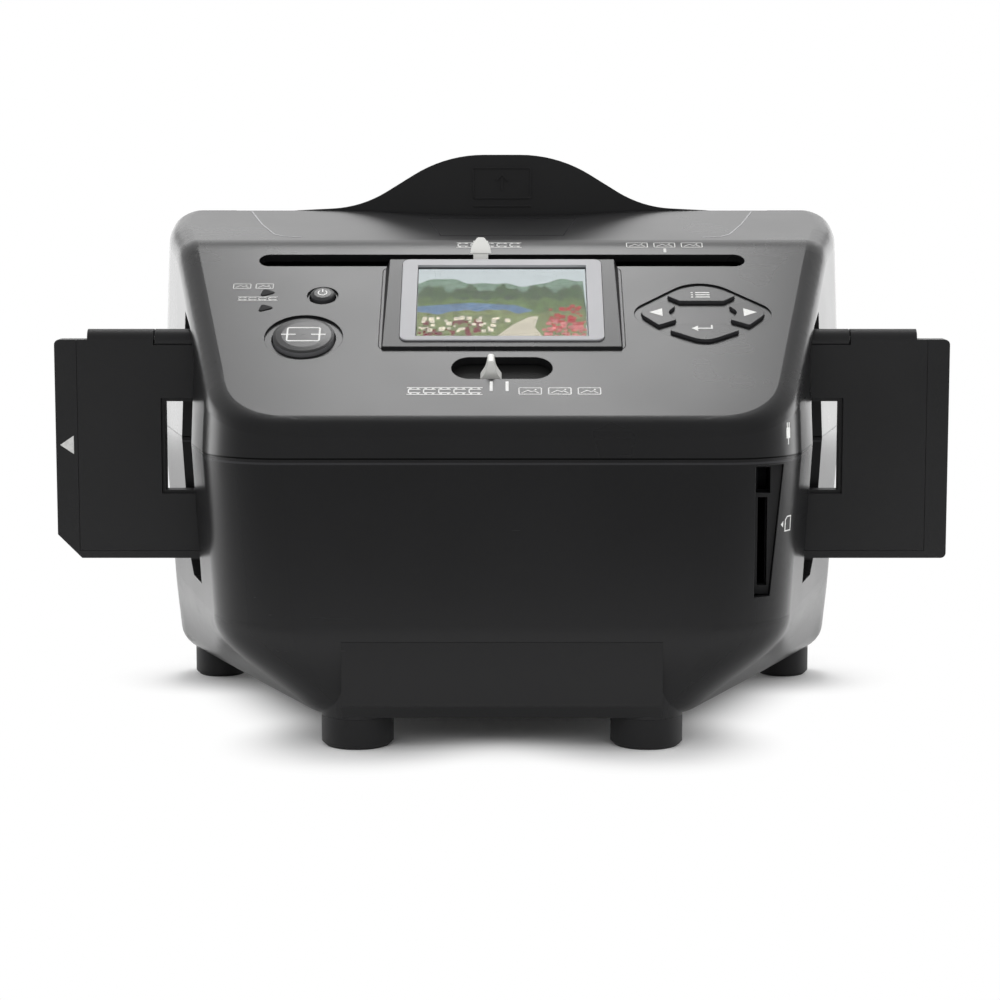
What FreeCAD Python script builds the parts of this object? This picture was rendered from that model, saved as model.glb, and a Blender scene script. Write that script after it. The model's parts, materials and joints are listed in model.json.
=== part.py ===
import FreeCAD, Part
import Sketcher
import math
import os
import re

# Desktop film scanner with a sliding film holder, an upright photo tray and a tilted display.
# Millimetres. The front faces -Y, Z is up, the origin is on the table under the middle.
# A "run" is a distance behind the front wall, a "rise" is a height above the sloping panel.

SIZES = {
    # Housing outline, seen from above
    "side_flare": 26.4,
    "side_corner_rear": 27.0,
    "front_corner_radius": 24.0,
    "side_corner_radius": 60.0,
    "rear_corner_radius": 16.0,
    "rear_band": 5.8,
    "wall": 2.5,
    "overrun": 1.0,
    "round_end_gap": 0.01,
    # Heights of the base
    "panel_front_band": 10.0,
    "base_wall_height": 50.5,
    "underside_height": 8.6,
    "base_draft": 3.0,
    # Outline of the underside, drawn in from the walls
    "underside_front_inset": 30.1,
    "underside_front_run": 4.0,
    "underside_side_inset": 3.5,
    "underside_corner_rear": 14.0,
    "underside_rear_inset": 0.5,
    "underside_front_radius": 14.0,
    "underside_side_radius": 12.0,
    "underside_rear_radius": 10.0,
    "underside_edge_radius": 8.0,
    "bowl_lead": 5.0,
    # Centre block under the front wall
    "block_inset": 4.7,
    "block_run": 16.0,
    "block_lift": 0.6,
    "block_bevel_run": 2.2,
    "block_bevel_height": 3.6,
    # Sloping panel and rear deck of the cover
    "panel_slope": 30.5,
    "crease_gap": 8.3,
    "deck_slope": 12.8,
    "crease_radius": 25.0,
    "cover_edge_radius": 6.5,
    "cover_draft": 3.0,
    # Feet
    "front_foot_radius": 10.1,
    "front_foot_inset": 8.5,
    "front_foot_run": 12.0,
    "rear_foot_radius": 8.2,
    "rear_foot_inset": 16.0,
    "rear_foot_rear": 14.0,
    "foot_bevel": 1.2,
    # Case screws and the posts that they pull on
    "front_post_x": 36.0,
    "front_post_run": 34.0,
    "rear_post_inset": 25.5,
    "rear_post_rear": 24.0,
    "post_radius": 3.5,
    "post_joint_rise": 17.4,
    "screw_radius": 1.5,
    "screw_length": 20.0,
    "screw_head_radius": 2.8,
    "screw_head_height": 2.0,
    "screw_fit": 0.05,
    # Film holder: two leaves joined by hinges along the top edge
    "leaf_thickness": 3.0,
    "window_width": 36.0,
    "window_height": 26.0,
    "window_pitch": 53.5,
    "window_flare": 1.0,
    "holder_end_band": 31.75,
    "holder_lower_band": 20.0,
    "holder_upper_band": 18.0,
    "holder_chamfer": 7.0,
    "holder_corner_radius": 1.5,
    "lid_end_inset": 6.5,
    "lid_lower_inset": 2.3,
    "hinge_radius": 2.95,
    "hinge_pin_radius": 0.9,
    "hinge_pin_fit": 0.05,
    "hinge_end_inset": 3.1,
    "hinge_lid_length": 19.2,
    "hinge_back_length": 21.2,
    "hinge_gap": 0.4,
    "magnet_radius": 2.5,
    "magnet_depth": 1.8,
    "magnet_end_inset": 10.5,
    "magnet_rise": 8.0,
    "magnet_fit": 0.05,
    "holder_clearance": 0.3,
    # Side openings for the holder and their black trims
    "slot_front_reach": 13.0,
    "slot_rear_reach": 7.0,
    "slot_lower_gap": 6.0,
    "slot_front_drop": 4.0,
    "slot_middle_gap": 3.9,
    "slot_rear_gap": 7.6,
    "slot_chamfer": 4.0,
    "trim_thickness": 2.5,
    "trim_gap": 0.2,
    "trim_wall_gap": 0.1,
    "trim_overlap": 3.0,
    # Film gate
    "gate_half_width": 38.0,
    "gate_front_thickness": 3.2,
    "gate_rear_thickness": 2.5,
    "gate_floor": 2.8,
    "gate_rise": 1.5,
    "gate_window_half": 22.0,
    "gate_window_height": 32.0,
    "gate_leg_inset": 8.0,
    "gate_leg_width": 6.0,
    # Light carriage behind the film
    "carriage_gap": 5.0,
    "light_half_width": 27.0,
    "light_height": 44.0,
    "light_depth": 18.0,
    "light_wall": 1.5,
    "diffuser_thickness": 2.0,
    "light_fit": 0.1,
    "board_thickness": 1.6,
    "lamp_size": 3.0,
    "lamp_height": 1.2,
    "lug_half_width": 20.0,
    "lug_height": 6.6,
    "lug_front_inset": 5.0,
    "lug_rear_inset": 2.0,
    "rod_depth": 10.0,
    "rod_radius": 2.0,
    "rod_fit": 0.05,
    "rod_inset": 3.3,
    "frame_left_gap": 8.0,
    "frame_wall_gap": 4.2,
    "frame_plate": 3.0,
    "frame_sole": 2.0,
    "frame_sole_gap": 11.4,
    "frame_half_depth": 5.0,
    "frame_top_gap": 1.9,
    "frame_post_inset": 8.0,
    "frame_post_right_inset": 25.6,
    "frame_post_radius": 4.0,
    # Film and photo pointer in the long slot
    "pointer_x": -6.3,
    "pointer_foot_half": 8.0,
    "pointer_foot_thickness": 1.6,
    "pointer_stem_half": 2.2,
    "pointer_stem_lead": 0.8,
    "pointer_stem_depth": 3.1,
    "pointer_knob_rise": 2.15,
    "pointer_knob_height": 4.6,
    "pointer_knob_half": 3.1,
    "pointer_knob_shoulder_half": 2.7,
    "pointer_knob_shoulder_rise": 2.3,
    "pointer_knob_shoulder_radius": 4.0,
    "pointer_tip_half": 1.0,
    "pointer_tip_radius": 0.9,
    "pointer_knob_lap": 0.3,
    "long_slot_half": 72.0,
    "long_slot_lead": 0.3,
    "long_slot_width": 6.4,
    # Focus lever in the short slot, with the cam plate that moves the lens
    "short_slot_half": 14.2,
    "short_slot_gap": 3.64,
    "short_slot_width": 10.6,
    "focus_x": -3.1,
    "focus_travel": 4.5,
    "focus_plate_half": 19.0,
    "focus_plate_width": 14.0,
    "focus_plate_thickness": 1.2,
    "focus_plate_gap": 0.4,
    "focus_fin_rise": 3.6,
    "focus_fin_foot_half": 3.0,
    "focus_fin_waist_half": 1.5,
    "focus_fin_waist_sink": 0.4,
    "focus_fin_waist_radius": 7.0,
    "focus_fin_tip_half": 0.8,
    "focus_fin_tip_radius": 0.7,
    "focus_fin_length": 3.4,
    "cam_post_half": 2.5,
    "cam_post_lag": 1.3,
    "cam_post_depth": 4.0,
    "cam_plate_gap": 1.7,
    "cam_plate_thickness": 1.4,
    "cam_plate_left": -9.0,
    "cam_plate_right": 8.0,
    "cam_plate_lap": 5.1,
    "cam_pin_x": 0.0,
    "cam_pin_inset": 1.7,
    "cam_pin_radius": 1.0,
    "cam_slot_fit": 0.12,
    # Camera: housing, lens barrel and bracket
    "lens_travel": 2.0,
    "lens_gate_gap": 7.9,
    "camera_half_width": 18.0,
    "camera_half_height": 12.5,
    "camera_roof_gap": 1.4,
    "camera_front_run": 9.0,
    "camera_length": 18.0,
    "camera_wall": 2.0,
    "nose_radius": 12.0,
    "nose_length": 6.0,
    "barrel_radius": 10.0,
    "barrel_fit": 0.05,
    "barrel_length": 14.6,
    "barrel_reach": 3.6,
    "barrel_bore": 5.0,
    "lens_depth": 5.6,
    "lens_radius": 7.0,
    "lens_rim": 1.6,
    "lens_crown": 1.2,
    "lens_fit": 0.05,
    "cam_pin_rise": 0.7,
    "shelf_thickness": 2.5,
    "bracket_plate": 3.0,
    "bracket_half_width": 17.0,
    # Display
    "display_slot_gap": 0.67,
    "display_sink": 1.0,
    "bezel_lip": 0.8,
    "bezel_tilt": 3.0,
    "bezel_foot_step": 0.8,
    "bezel_side_draw": 1.8,
    "bezel_edge": 0.3,
    "bezel_rear_draw": 1.2,
    "bezel_height": 4.4,
    "bezel_corner_radius": 2.5,
    "bezel_side_band": 3.3,
    "bezel_end_band": 0.9,
    "frame_start": 3.0,
    "frame_side_band": 4.6,
    "frame_start_band": 1.9,
    "frame_end_band": 3.0,
    "frame_sink": 0.3,
    "frame_rise": 0.5,
    "frame_corner_radius": 2.2,
    "glass_half_width": 24.5,
    "glass_length": 34.1,
    "glass_sink": 0.25,
    "glass_thickness": 1.15,
    "glass_fit": 0.1,
    "panel_margin": 2.0,
    "lcd_thickness": 2.6,
    "lcd_fit": 0.15,
    "display_hole_margin": 2.8,
    # Keys
    "key_fit": 0.2,
    "round_key_fit": 0.4,
    "key_rise": 0.5,
    "key_crown": 0.5,
    "key_flange": 0.6,
    "key_flange_thickness": 0.6,
    "key_flange_gap": 0.1,
    "key_travel": 0.5,
    "dome_gap": 0.05,
    "dome_radius": 2.6,
    "dome_height": 0.6,
    "scan_inset": 22.6,
    "scan_run": 35.9,
    "scan_radius": 8.8,
    "scan_dish_band": 2.4,
    "power_inset": 26.9,
    "power_run": 54.4,
    "power_radius": 3.5,
    "power_dish_band": 1.05,
    "dish_depth": 0.7,
    "pad_gap": 3.3,
    "pad_edge": 1.6,
    "pad_run": 46.2,
    "pad_half_width": 19.6,
    "pad_half_length": 16.2,
    "pad_side_point": 3.4,
    "pad_side_radius": 6.0,
    "pad_end_point": 3.5,
    "pad_end_radius": 12.0,
    "pad_depth": 0.5,
    "pad_key_inner": 6.0,
    "pad_key_shoulder": 9.0,
    "pad_key_outer": 14.8,
    "pad_key_half": 10.2,
    "pad_key_inner_half": 6.4,
    "pad_key_corner_radius": 0.6,
    "pad_key_arch_radius": 7.0,
    "side_key_tip": 18.6,
    "side_key_tip_radius": 3.0,
    "side_key_inner": 7.6,
    "side_key_waist": 10.4,
    "side_key_waist_radius": 2.4,
    "side_key_half_length": 3.6,
    "side_key_shoulder": 13.0,
    "side_key_shoulder_length": 6.4,
    "side_key_corner_radius": 0.6,
    "key_board_margin": 2.4,
    "key_board_thickness": 1.0,
    "key_board_left_inset": 5.1,
    "key_board_left_width": 31.0,
    "key_board_right_inset": 2.6,
    "key_board_right_width": 35.5,
    "key_board_start_run": 30.0,
    "key_board_end_run": 59.0,
    "board_post_radius": 2.0,
    "board_post_inset": 2.5,
    "panel_screw_radius": 0.9,
    "panel_screw_head_radius": 1.7,
    "panel_screw_head_height": 1.0,
    # Status lights
    "status_inset": 10.5,
    "upper_status_run": 55.7,
    "lower_status_run": 48.8,
    "status_foot_x": 1.75,
    "status_foot_y": 2.08,
    "status_top_x": 0.75,
    "status_top_y": 1.72,
    "status_tip_x": 2.65,
    "status_tip_y": 0.08,
    "status_inner_radius": 1.167,
    "status_radius": 0.5,
    "status_rise": 0.2,
    "status_fit": 0.2,
    # Photo tray: front frame with the grip, and a back plate
    "tray_side_room": 22.5,
    "tray_side_band": 8.5,
    "tray_floor_gap": 13.4,
    "tray_lower_band": 8.25,
    "photo_height": 99.5,
    "tray_upper_band": 15.75,
    "tray_sink": 1.5,
    "photo_distance": 25.0,
    "tray_leaf": 2.6,
    "grip_start_inset": 19.0,
    "grip_start_rise": 1.5,
    "grip_foot_x": 44.0,
    "grip_foot_rise": 2.5,
    "grip_top_x": 17.5,
    "grip_height": 18.8,
    "grip_foot_radius": 36.0,
    "grip_top_radius": 42.0,
    "tray_corner_radius": 3.0,
    "tray_pin_radius": 0.8,
    "tray_pin_inset": 2.4,
    "tray_pin_fit": 0.05,
    "tray_clearance": 0.3,
    "guide_wall": 2.0,
    "guide_rail": 4.5,
    "guide_drop": 7.5,
    "scoop_radius": 600.0,
    "scoop_depth": 1.7,
    "scoop_length": 21.0,
    # Photo lamps
    "lamp_strip_inset": 3.5,
    "lamp_strip_gap": 5.0,
    "lamp_strip_width": 10.0,
    "lamp_strip_drop": 1.75,
    "lamp_lower_inset": 5.75,
    "lamp_upper_inset": 8.75,
    # Main board
    "main_board_half": 29.0,
    "main_board_front_run": 6.5,
    "main_board_depth": 18.5,
    "main_board_rise": 7.4,
    "main_board_inset": 4.0,
    "standoff_radius": 2.2,
    "chip_size": 10.0,
    "chip_height": 1.4,
    # Ports in the right front corner
    "port_inset": 6.1,
    "port_half_width": 3.6,
    "port_seam_gap": 1.9,
    "port_end_band": 2.6,
    "port_taper": 2.6,
    "port_widening": 1.0,
    "port_insert_run": 8.6,
    "port_insert_thickness": 3.0,
    "port_fit": 0.1,
    "card_slit_half": 1.3,
    "card_length": 24.6,
    "usb_half": 2.1,
    "usb_length": 7.2,
    "usb_gap": 1.2,
    "usb_end_band": 1.0,
    "port_board_offset": 4.2,
    "port_board_run": 12.6,
    "port_board_depth": 30.0,
    "port_board_lower_lap": 1.0,
    "port_board_upper_lap": 0.4,
    "card_socket_thickness": 3.2,
    "card_socket_depth": 26.0,
    "usb_socket_depth": 9.0,
    "socket_shell": 0.5,
}

# Sizes and places that follow from the ones above
FOLLOWING = {
    # Runs, from the camera at the front to the photo tray at the back
    "camera_rear_run": "camera_front_run + camera_length",
    "nose_rear_run": "camera_rear_run + nose_length",
    "barrel_rear_run": "nose_rear_run + barrel_reach",
    "barrel_front_run": "barrel_rear_run - barrel_length",
    "lens_seat_run": "barrel_rear_run - lens_depth",
    "cam_pin_run": "barrel_rear_run - cam_pin_inset",
    "cam_plate_rear_run": "cam_pin_run + cam_plate_lap",
    "gate_front_run": "barrel_rear_run + lens_travel + lens_gate_gap",
    "film_run": "gate_front_run + gate_front_thickness + holder_clearance + leaf_thickness",
    "slot_front_run": "film_run - slot_front_reach",
    "slot_rear_run": "film_run + slot_rear_reach",
    "light_front_run": "film_run + leaf_thickness + carriage_gap",
    "light_rear_run": "light_front_run + light_depth",
    "lug_front_run": "light_front_run + lug_front_inset",
    "lug_rear_run": "light_rear_run - lug_rear_inset",
    "rod_run": "light_front_run + rod_depth",
    "long_slot_run": "rod_run - long_slot_lead",
    "pointer_front_run": "long_slot_run - pointer_stem_lead",
    "pointer_rear_run": "pointer_front_run + pointer_stem_depth",
    "crease_run": "long_slot_run + crease_gap",
    "lamp_strip_run": "light_rear_run + lamp_strip_gap",
    "tray_front_run": "lamp_strip_run + lamp_strip_width + photo_distance",
    "tray_rear_run": "tray_front_run + 2 * tray_leaf",
    "scoop_run": "tray_front_run - scoop_length",
    "body_depth": "tray_rear_run + rear_band",
    "side_corner_run": "body_depth - side_corner_rear",
    "underside_side_run": "body_depth - underside_corner_rear",
    "rear_foot_run": "body_depth - rear_foot_rear",
    "rear_post_run": "body_depth - rear_post_rear",
    # Display, along the panel and across it
    "glass_start": "frame_start + frame_start_band",
    "glass_end": "glass_start + glass_length",
    "frame_end": "glass_end + frame_end_band",
    "display_length": "frame_end + bezel_end_band",
    "display_hole_start": "glass_start - display_hole_margin",
    "display_hole_end": "glass_end + display_hole_margin",
    "display_reach": "long_slot_width / 2 + display_slot_gap + display_length",
    "display_run": "long_slot_run - display_reach * cos(panel_slope)",
    "short_slot_run": "display_run - (short_slot_width / 2 + short_slot_gap) * cos(panel_slope)",
    "cam_post_run": "short_slot_run + cam_post_lag",
    "frame_half_width": "glass_half_width + frame_side_band",
    "bezel_top_half": "frame_half_width + bezel_side_band",
    "bezel_half_width": "bezel_top_half + bezel_side_draw",
    "display_half_width": "bezel_half_width + bezel_foot_step",
    "display_hole_half": "bezel_top_half - bezel_side_band",
    # Half widths and places across
    "front_half_width": "display_half_width + pad_gap + 2 * pad_half_width + pad_edge",
    "side_half_width": "front_half_width + side_flare",
    "underside_front_half": "front_half_width - underside_front_inset",
    "underside_side_half": "side_half_width - underside_side_inset",
    "block_half_width": "underside_front_half - block_inset",
    "front_foot_x": "underside_front_half - front_foot_inset",
    "rear_foot_x": "side_half_width - rear_foot_inset",
    "rear_post_x": "side_half_width - rear_post_inset",
    "tray_half_width": "side_half_width - tray_side_room",
    "photo_half_width": "tray_half_width - tray_side_band",
    "grip_start_x": "tray_half_width - grip_start_inset",
    "lamp_strip_x": "photo_half_width - lamp_strip_inset",
    "scan_x": "scan_inset - front_half_width",
    "power_x": "power_inset - front_half_width",
    "status_x": "status_inset - front_half_width",
    "pad_x": "front_half_width - pad_edge - pad_half_width",
    "scan_dish_radius": "scan_radius + scan_dish_band",
    "power_dish_radius": "power_radius + power_dish_band",
    "key_board_left_outer": "key_board_left_inset - front_half_width",
    "key_board_left_inner": "key_board_left_outer + key_board_left_width",
    "key_board_right_outer": "front_half_width - key_board_right_inset",
    "key_board_right_inner": "key_board_right_outer - key_board_right_width",
    "board_post_run": "key_board_end_run - board_post_inset",
    "port_x": "front_half_width - port_inset",
    "port_board_x": "port_x - port_board_offset",
    "wall_slope": "side_flare / side_corner_run",
    "frame_left": "-(light_half_width + frame_left_gap + frame_plate)",
    "frame_right": "front_half_width + rod_run * wall_slope - wall - base_draft - frame_wall_gap",
    "frame_post_left": "frame_left + frame_post_inset",
    "frame_post_right": "frame_right - frame_post_right_inset",
    "gate_leg_x": "gate_half_width - gate_leg_inset",
    # Heights, from the table up to the grip
    "tray_bottom": "underside_height + tray_floor_gap",
    "photo_bottom": "tray_bottom + tray_lower_band",
    "photo_top": "photo_bottom + photo_height",
    "tray_shoulder": "photo_top + tray_upper_band",
    "grip_foot_height": "tray_shoulder + grip_foot_rise",
    "total_height": "tray_shoulder + grip_height",
    "guide_top": "tray_shoulder - guide_drop",
    "lamp_strip_top": "photo_top - lamp_strip_drop",
    "deck_height": "tray_shoulder + tray_sink",
    "crease_height": "deck_height - (tray_front_run - crease_run) * tan(deck_slope)",
    "deck_end_height": "crease_height + (body_depth - crease_run) * tan(deck_slope)",
    "cover_block_height": "deck_end_height + 2 * overrun",
    "panel_front_height": "crease_height - crease_run * tan(panel_slope)",
    "seam_height": "panel_front_height - panel_front_band",
    "wall_foot_height": "seam_height - base_wall_height",
    "bowl_top": "wall_foot_height + bowl_lead",
    "bowl_top_draft": "base_draft * (seam_height - bowl_top) / base_wall_height",
    "post_joint_height": "underside_height + post_joint_rise",
    "main_board_height": "underside_height + main_board_rise",
    "camera_roof": "panel_front_height + camera_front_run * tan(panel_slope) - wall / cos(panel_slope)",
    "camera_top": "camera_roof - camera_roof_gap",
    "film_axis_height": "camera_top - camera_half_height",
    "cam_plate_height": "camera_top + cam_plate_gap",
    "frame_sole_height": "film_axis_height - light_height / 2 - lug_height - frame_sole_gap",
    "frame_top": "film_axis_height + light_height / 2 + lug_height + frame_top_gap",
    "pointer_knob_foot": "panel_front_height + long_slot_run * tan(panel_slope) + pointer_knob_rise",
    "pointer_tip_height": "pointer_knob_foot + pointer_knob_height",
    "main_board_rear_run": "main_board_front_run + main_board_depth",
    # Film holder
    "holder_half": "3 * window_pitch / 2 + window_width / 2 + holder_end_band",
    "holder_bottom": "film_axis_height - window_height / 2 - holder_lower_band",
    "holder_top": "film_axis_height + window_height / 2 + holder_upper_band",
    "lid_half_length": "holder_half - lid_end_inset",
    "lid_bottom": "holder_bottom + lid_lower_inset",
    "hinge_lid_end": "lid_half_length - hinge_end_inset",
    "hinge_lid_start": "hinge_lid_end - hinge_lid_length",
    "hinge_back_start": "hinge_lid_start - hinge_back_length",
    "magnet_x": "lid_half_length - magnet_end_inset",
    "magnet_height": "holder_bottom + magnet_rise",
    "slot_bottom": "holder_bottom - slot_lower_gap",
    "slot_front_top": "holder_top - slot_front_drop",
    "slot_middle_top": "holder_top + slot_middle_gap",
    "slot_rear_top": "holder_top + slot_rear_gap",
    "gate_top": "holder_top + gate_rise",
    # Ports, from the seam down
    "port_top": "seam_height - port_seam_gap",
    "usb_top": "port_top - usb_end_band",
    "usb_bottom": "usb_top - usb_length",
    "card_top": "usb_bottom - usb_gap",
    "card_bottom": "card_top - card_length",
    "port_bottom": "card_bottom - port_end_band",
    "port_board_bottom": "port_bottom - port_board_lower_lap",
    "port_board_top": "port_top + port_board_upper_lap",
}

# Shares of a piece's own size
bowl_drop_shares = (0.2, 0.5, 1.0)
bowl_turn_shares = (0.04, 0.36, 1.0)
lamp_place_shares = (-0.6, 0.0, 0.6)
chip_place_shares = (-0.55, 0.0, 0.55)
crown_width_shares = (0.9, 0.7)
crown_height_shares = (0.5, 0.86)
dome_width_shares = (0.8, 0.4)
dome_shoulder_share = 0.7

photo_lamp_count = 6
sharp_edge_degrees = 20

doc = FreeCAD.newDocument("FilmScanner")
sheet = doc.addObject("Spreadsheet::Sheet", "Sizes")
for row, (alias, number) in enumerate(SIZES.items(), start=1):
    sheet.set(f"A{row}", alias)
    sheet.set(f"B{row}", str(number))
    sheet.setAlias(f"B{row}", alias)

X_AXIS = FreeCAD.Vector(1, 0, 0)
Y_AXIS = FreeCAD.Vector(0, 1, 0)
parts = {}


# Expressions on the sheet and on the sizes that follow from it

def linked(text):
    """An expression in which every size is read from the object that holds it."""
    def owner(match):
        word = match[0]
        if word in SIZES:
            return f"Sizes.{word}"
        return f"Following.{word}" if word in FOLLOWING else word
    return re.sub(r"[a-z][a-z0-9_]*", owner, text)


following = doc.addObject("App::VarSet", "Following")
for alias in FOLLOWING:
    following.addProperty("App::PropertyFloat", alias)
for alias, text in FOLLOWING.items():
    following.setExpression(alias, linked(text))
doc.recompute()


def measure(text):
    return float(sheet.evalExpression(linked(text)))


def bind(item, prop, text):
    item.setExpression(prop, linked(text))


def run_y(run):
    """Y of a plane that lies a run behind the front wall."""
    return f"(({run}) - body_depth / 2)"


def panel_z(run):
    """Height of the sloping panel at a run."""
    return f"(panel_front_height + ({run}) * tan(panel_slope))"


def place(item, at, axis=None, angle="0"):
    turn = FreeCAD.Rotation(axis, measure(angle)) if axis else FreeCAD.Rotation()
    item.Placement = FreeCAD.Placement(FreeCAD.Vector(), turn)
    for letter, text in zip("xyz", at):
        bind(item, f"Placement.Base.{letter}", text)
    if axis:
        bind(item, "Placement.Rotation.Angle", angle)
    return item


def on_panel(item, x, run, rise="0", tilt="0"):
    """Put an item on the sloping panel, its own Z along the panel's normal."""
    y = f"{run_y(run)} - ({rise}) * sin(panel_slope)"
    z = f"{panel_z(run)} + ({rise}) * cos(panel_slope)"
    return place(item, (x, y, z), X_AXIS, f"panel_slope + {tilt}")


# Solids

def box(name, x, y, z):
    """Block between two places on each axis."""
    item = doc.addObject("Part::Box", name)
    for prop, (low, high) in zip(("Length", "Width", "Height"), (x, y, z)):
        bind(item, prop, f"({high}) - ({low})")
    return place(item, (x[0], y[0], z[0]))


def slab(name, half, y, z):
    """Block that is centred on X."""
    return box(name, (f"-({half})", half), y, z)


def rod(name, radius, length, at, axis=None, angle="90"):
    item = doc.addObject("Part::Cylinder", name)
    bind(item, "Radius", radius)
    bind(item, "Height", length)
    return place(item, at, axis, angle)


def rod_x(name, radius, start, end, y, z):
    return rod(name, radius, f"({end}) - ({start})", (start, y, z), Y_AXIS)


def rod_y(name, radius, start, end, x, z):
    return rod(name, radius, f"({end}) - ({start})", (x, start, z), X_AXIS, "-90")


def frustum(name, foot_x, foot_y, head_x, head_y, height):
    """Block that narrows upwards; each side is a pair of places."""
    item = doc.addObject("Part::Wedge", name)
    limits = {
        "Xmin": foot_x[0], "Xmax": foot_x[1], "Zmin": foot_y[0], "Zmax": foot_y[1],
        "X2min": head_x[0], "X2max": head_x[1], "Z2min": head_y[0], "Z2max": head_y[1],
        "Ymin": "0", "Ymax": height,
    }
    for prop, text in limits.items():
        bind(item, prop, text)
    return item


def cut(name, base, *tools):
    tool = tools[0] if len(tools) == 1 else fuse(f"{name}_tools", *tools)
    item = doc.addObject("Part::Cut", name)
    item.Base = base
    item.Tool = tool
    return item


def fuse(name, *items):
    item = doc.addObject("Part::MultiFuse", name)
    item.Shapes = list(items)
    return item


def common(name, *items):
    item = doc.addObject("Part::MultiCommon", name)
    item.Shapes = list(items)
    return item


def group(name, *items):
    """Separate solids that share one node."""
    item = doc.addObject("Part::Compound", name)
    item.Links = list(items)
    return item


def part(name, item):
    item.Label = name
    parts[name] = item
    return item


# Sketches: outlines with named corner places and corner radii

def plane_of(body, role):
    return next(feature for feature in body.Origin.OriginFeatures if feature.Role == role)


def sketch_on(body, name, role="XY_Plane", level="0"):
    sketch = body.newObject("Sketcher::SketchObject", name)
    sketch.AttachmentSupport = [(plane_of(body, role), "")]
    sketch.MapMode = "FlatFace"
    bind(sketch, "AttachmentOffset.Base.z", level)
    return sketch


def pin_point(sketch, geometry, end, x, y):
    """Hold a point at a place given by two expressions."""
    for kind, text in (("DistanceX", x), ("DistanceY", y)):
        index = sketch.addConstraint(Sketcher.Constraint(kind, -1, 1, geometry, end, measure(text)))
        bind(sketch, f"Constraints[{index}]", text)


def rounded_stations(corners):
    """Where the rounding of each corner starts and ends, and its centre."""
    stations = []
    for i, (corner, radius) in enumerate(corners):
        before = (corners[i - 1][0] - corner).normalize()
        after = (corners[(i + 1) % len(corners)][0] - corner).normalize()
        if radius == 0:
            stations.append((corner, corner, None))
            continue
        half_angle = before.getAngle(after) / 2
        reach = radius / math.tan(half_angle)
        middle = (before + after).normalize()
        centre = corner + middle * (radius / math.sin(half_angle))
        stations.append((corner + before * reach, corner + after * reach, centre - middle * radius))
    return stations


def outline(sketch, corners):
    """Closed outline through corners given as x, y and a rounding radius, or 0 for a sharp one."""
    places = [(FreeCAD.Vector(measure(x), measure(y), 0), measure(radius)) for x, y, radius in corners]
    stations = rounded_stations(places)
    count = len(corners)
    sides = []
    for i in range(count):
        start = stations[i][1]
        end = stations[(i + 1) % count][0]
        sides.append(sketch.addGeometry(Part.LineSegment(start, end), False))
    for i, (x, y, radius) in enumerate(corners):
        before = sides[i - 1]
        after = sides[i]
        arc_start, arc_end, arc_middle = stations[i]
        if arc_middle is None:
            sketch.addConstraint(Sketcher.Constraint("Coincident", before, 2, after, 1))
            pin_point(sketch, after, 1, x, y)
            continue
        circle = Part.Arc(arc_start, arc_middle, arc_end)
        arc = sketch.addGeometry(circle, False)
        starts_first = sketch.getPoint(arc, 1).distanceToPoint(arc_start) < measure(radius) / 1000
        near, far = (1, 2) if starts_first else (2, 1)
        sketch.addConstraint(Sketcher.Constraint("Tangent", before, 2, arc, near))
        sketch.addConstraint(Sketcher.Constraint("Tangent", after, 1, arc, far))
        index = sketch.addConstraint(Sketcher.Constraint("Radius", arc, measure(radius)))
        bind(sketch, f"Constraints[{index}]", radius)
        virtual = sketch.addGeometry(Part.Point(places[i][0]), True)
        pin_point(sketch, virtual, 1, x, y)
        sketch.addConstraint(Sketcher.Constraint("PointOnObject", virtual, 1, before))
        sketch.addConstraint(Sketcher.Constraint("PointOnObject", virtual, 1, after))
    return sketch


def mirrored(half):
    """Corners of one half of an outline, from back to front, and their mirror image in X."""
    other = [(f"-({x})", y, radius) for x, y, radius in reversed(half)]
    return list(half) + other


def rectangle(half_x, low_y, high_y, radius="0"):
    return mirrored([(half_x, low_y, radius), (half_x, high_y, radius)])


def padded(name, corners, height, role="XY_Plane", level="0", midplane=False):
    """Outline raised by a height."""
    body = doc.addObject("PartDesign::Body", name)
    sketch = outline(sketch_on(body, f"{name}_outline", role, level), corners)
    pad = body.newObject("PartDesign::Pad", f"{name}_pad")
    pad.Profile = sketch
    bind(pad, "Length", height)
    if midplane:
        pad.SideType = "Symmetric"
    return body


def revolved(name, corners):
    """Profile of radius and height turned about the body's own Z axis."""
    body = doc.addObject("PartDesign::Body", name)
    sketch = outline(sketch_on(body, f"{name}_profile", "XZ_Plane"), corners)
    turn = body.newObject("PartDesign::Revolution", f"{name}_turn")
    turn.Profile = sketch
    turn.ReferenceAxis = (sketch, ["V_Axis"])
    turn.Angle = 360
    return body


def loft_through(body, name, sketches, ruled):
    loft = body.newObject("PartDesign::AdditiveLoft", name)
    loft.Profile = sketches[0]
    loft.Sections = sketches[1:]
    loft.Ruled = ruled


def lofted(name, sections):
    """Straight walls through outlines at several heights."""
    body = doc.addObject("PartDesign::Body", name)
    sketches = []
    for i, (level, corners) in enumerate(sections):
        sketches.append(outline(sketch_on(body, f"{name}_section{i}", level=level), corners))
    loft_through(body, f"{name}_loft", sketches, True)
    return body


# Housing

def plan_corners(inset="0", draft="0"):
    """Plan of the housing, drawn in by an inset all round and by a draft at the sides."""
    sides = f"({inset}) - ({draft})"
    return mirrored([
        (f"front_half_width - {sides}", f"{run_y('0')} + ({inset})", f"front_corner_radius - ({inset})"),
        (f"side_half_width - {sides}", run_y("side_corner_run"), "side_corner_radius"),
        (f"side_half_width - {sides}", f"body_depth / 2 - ({inset})", f"rear_corner_radius - ({inset})"),
    ])


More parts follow.
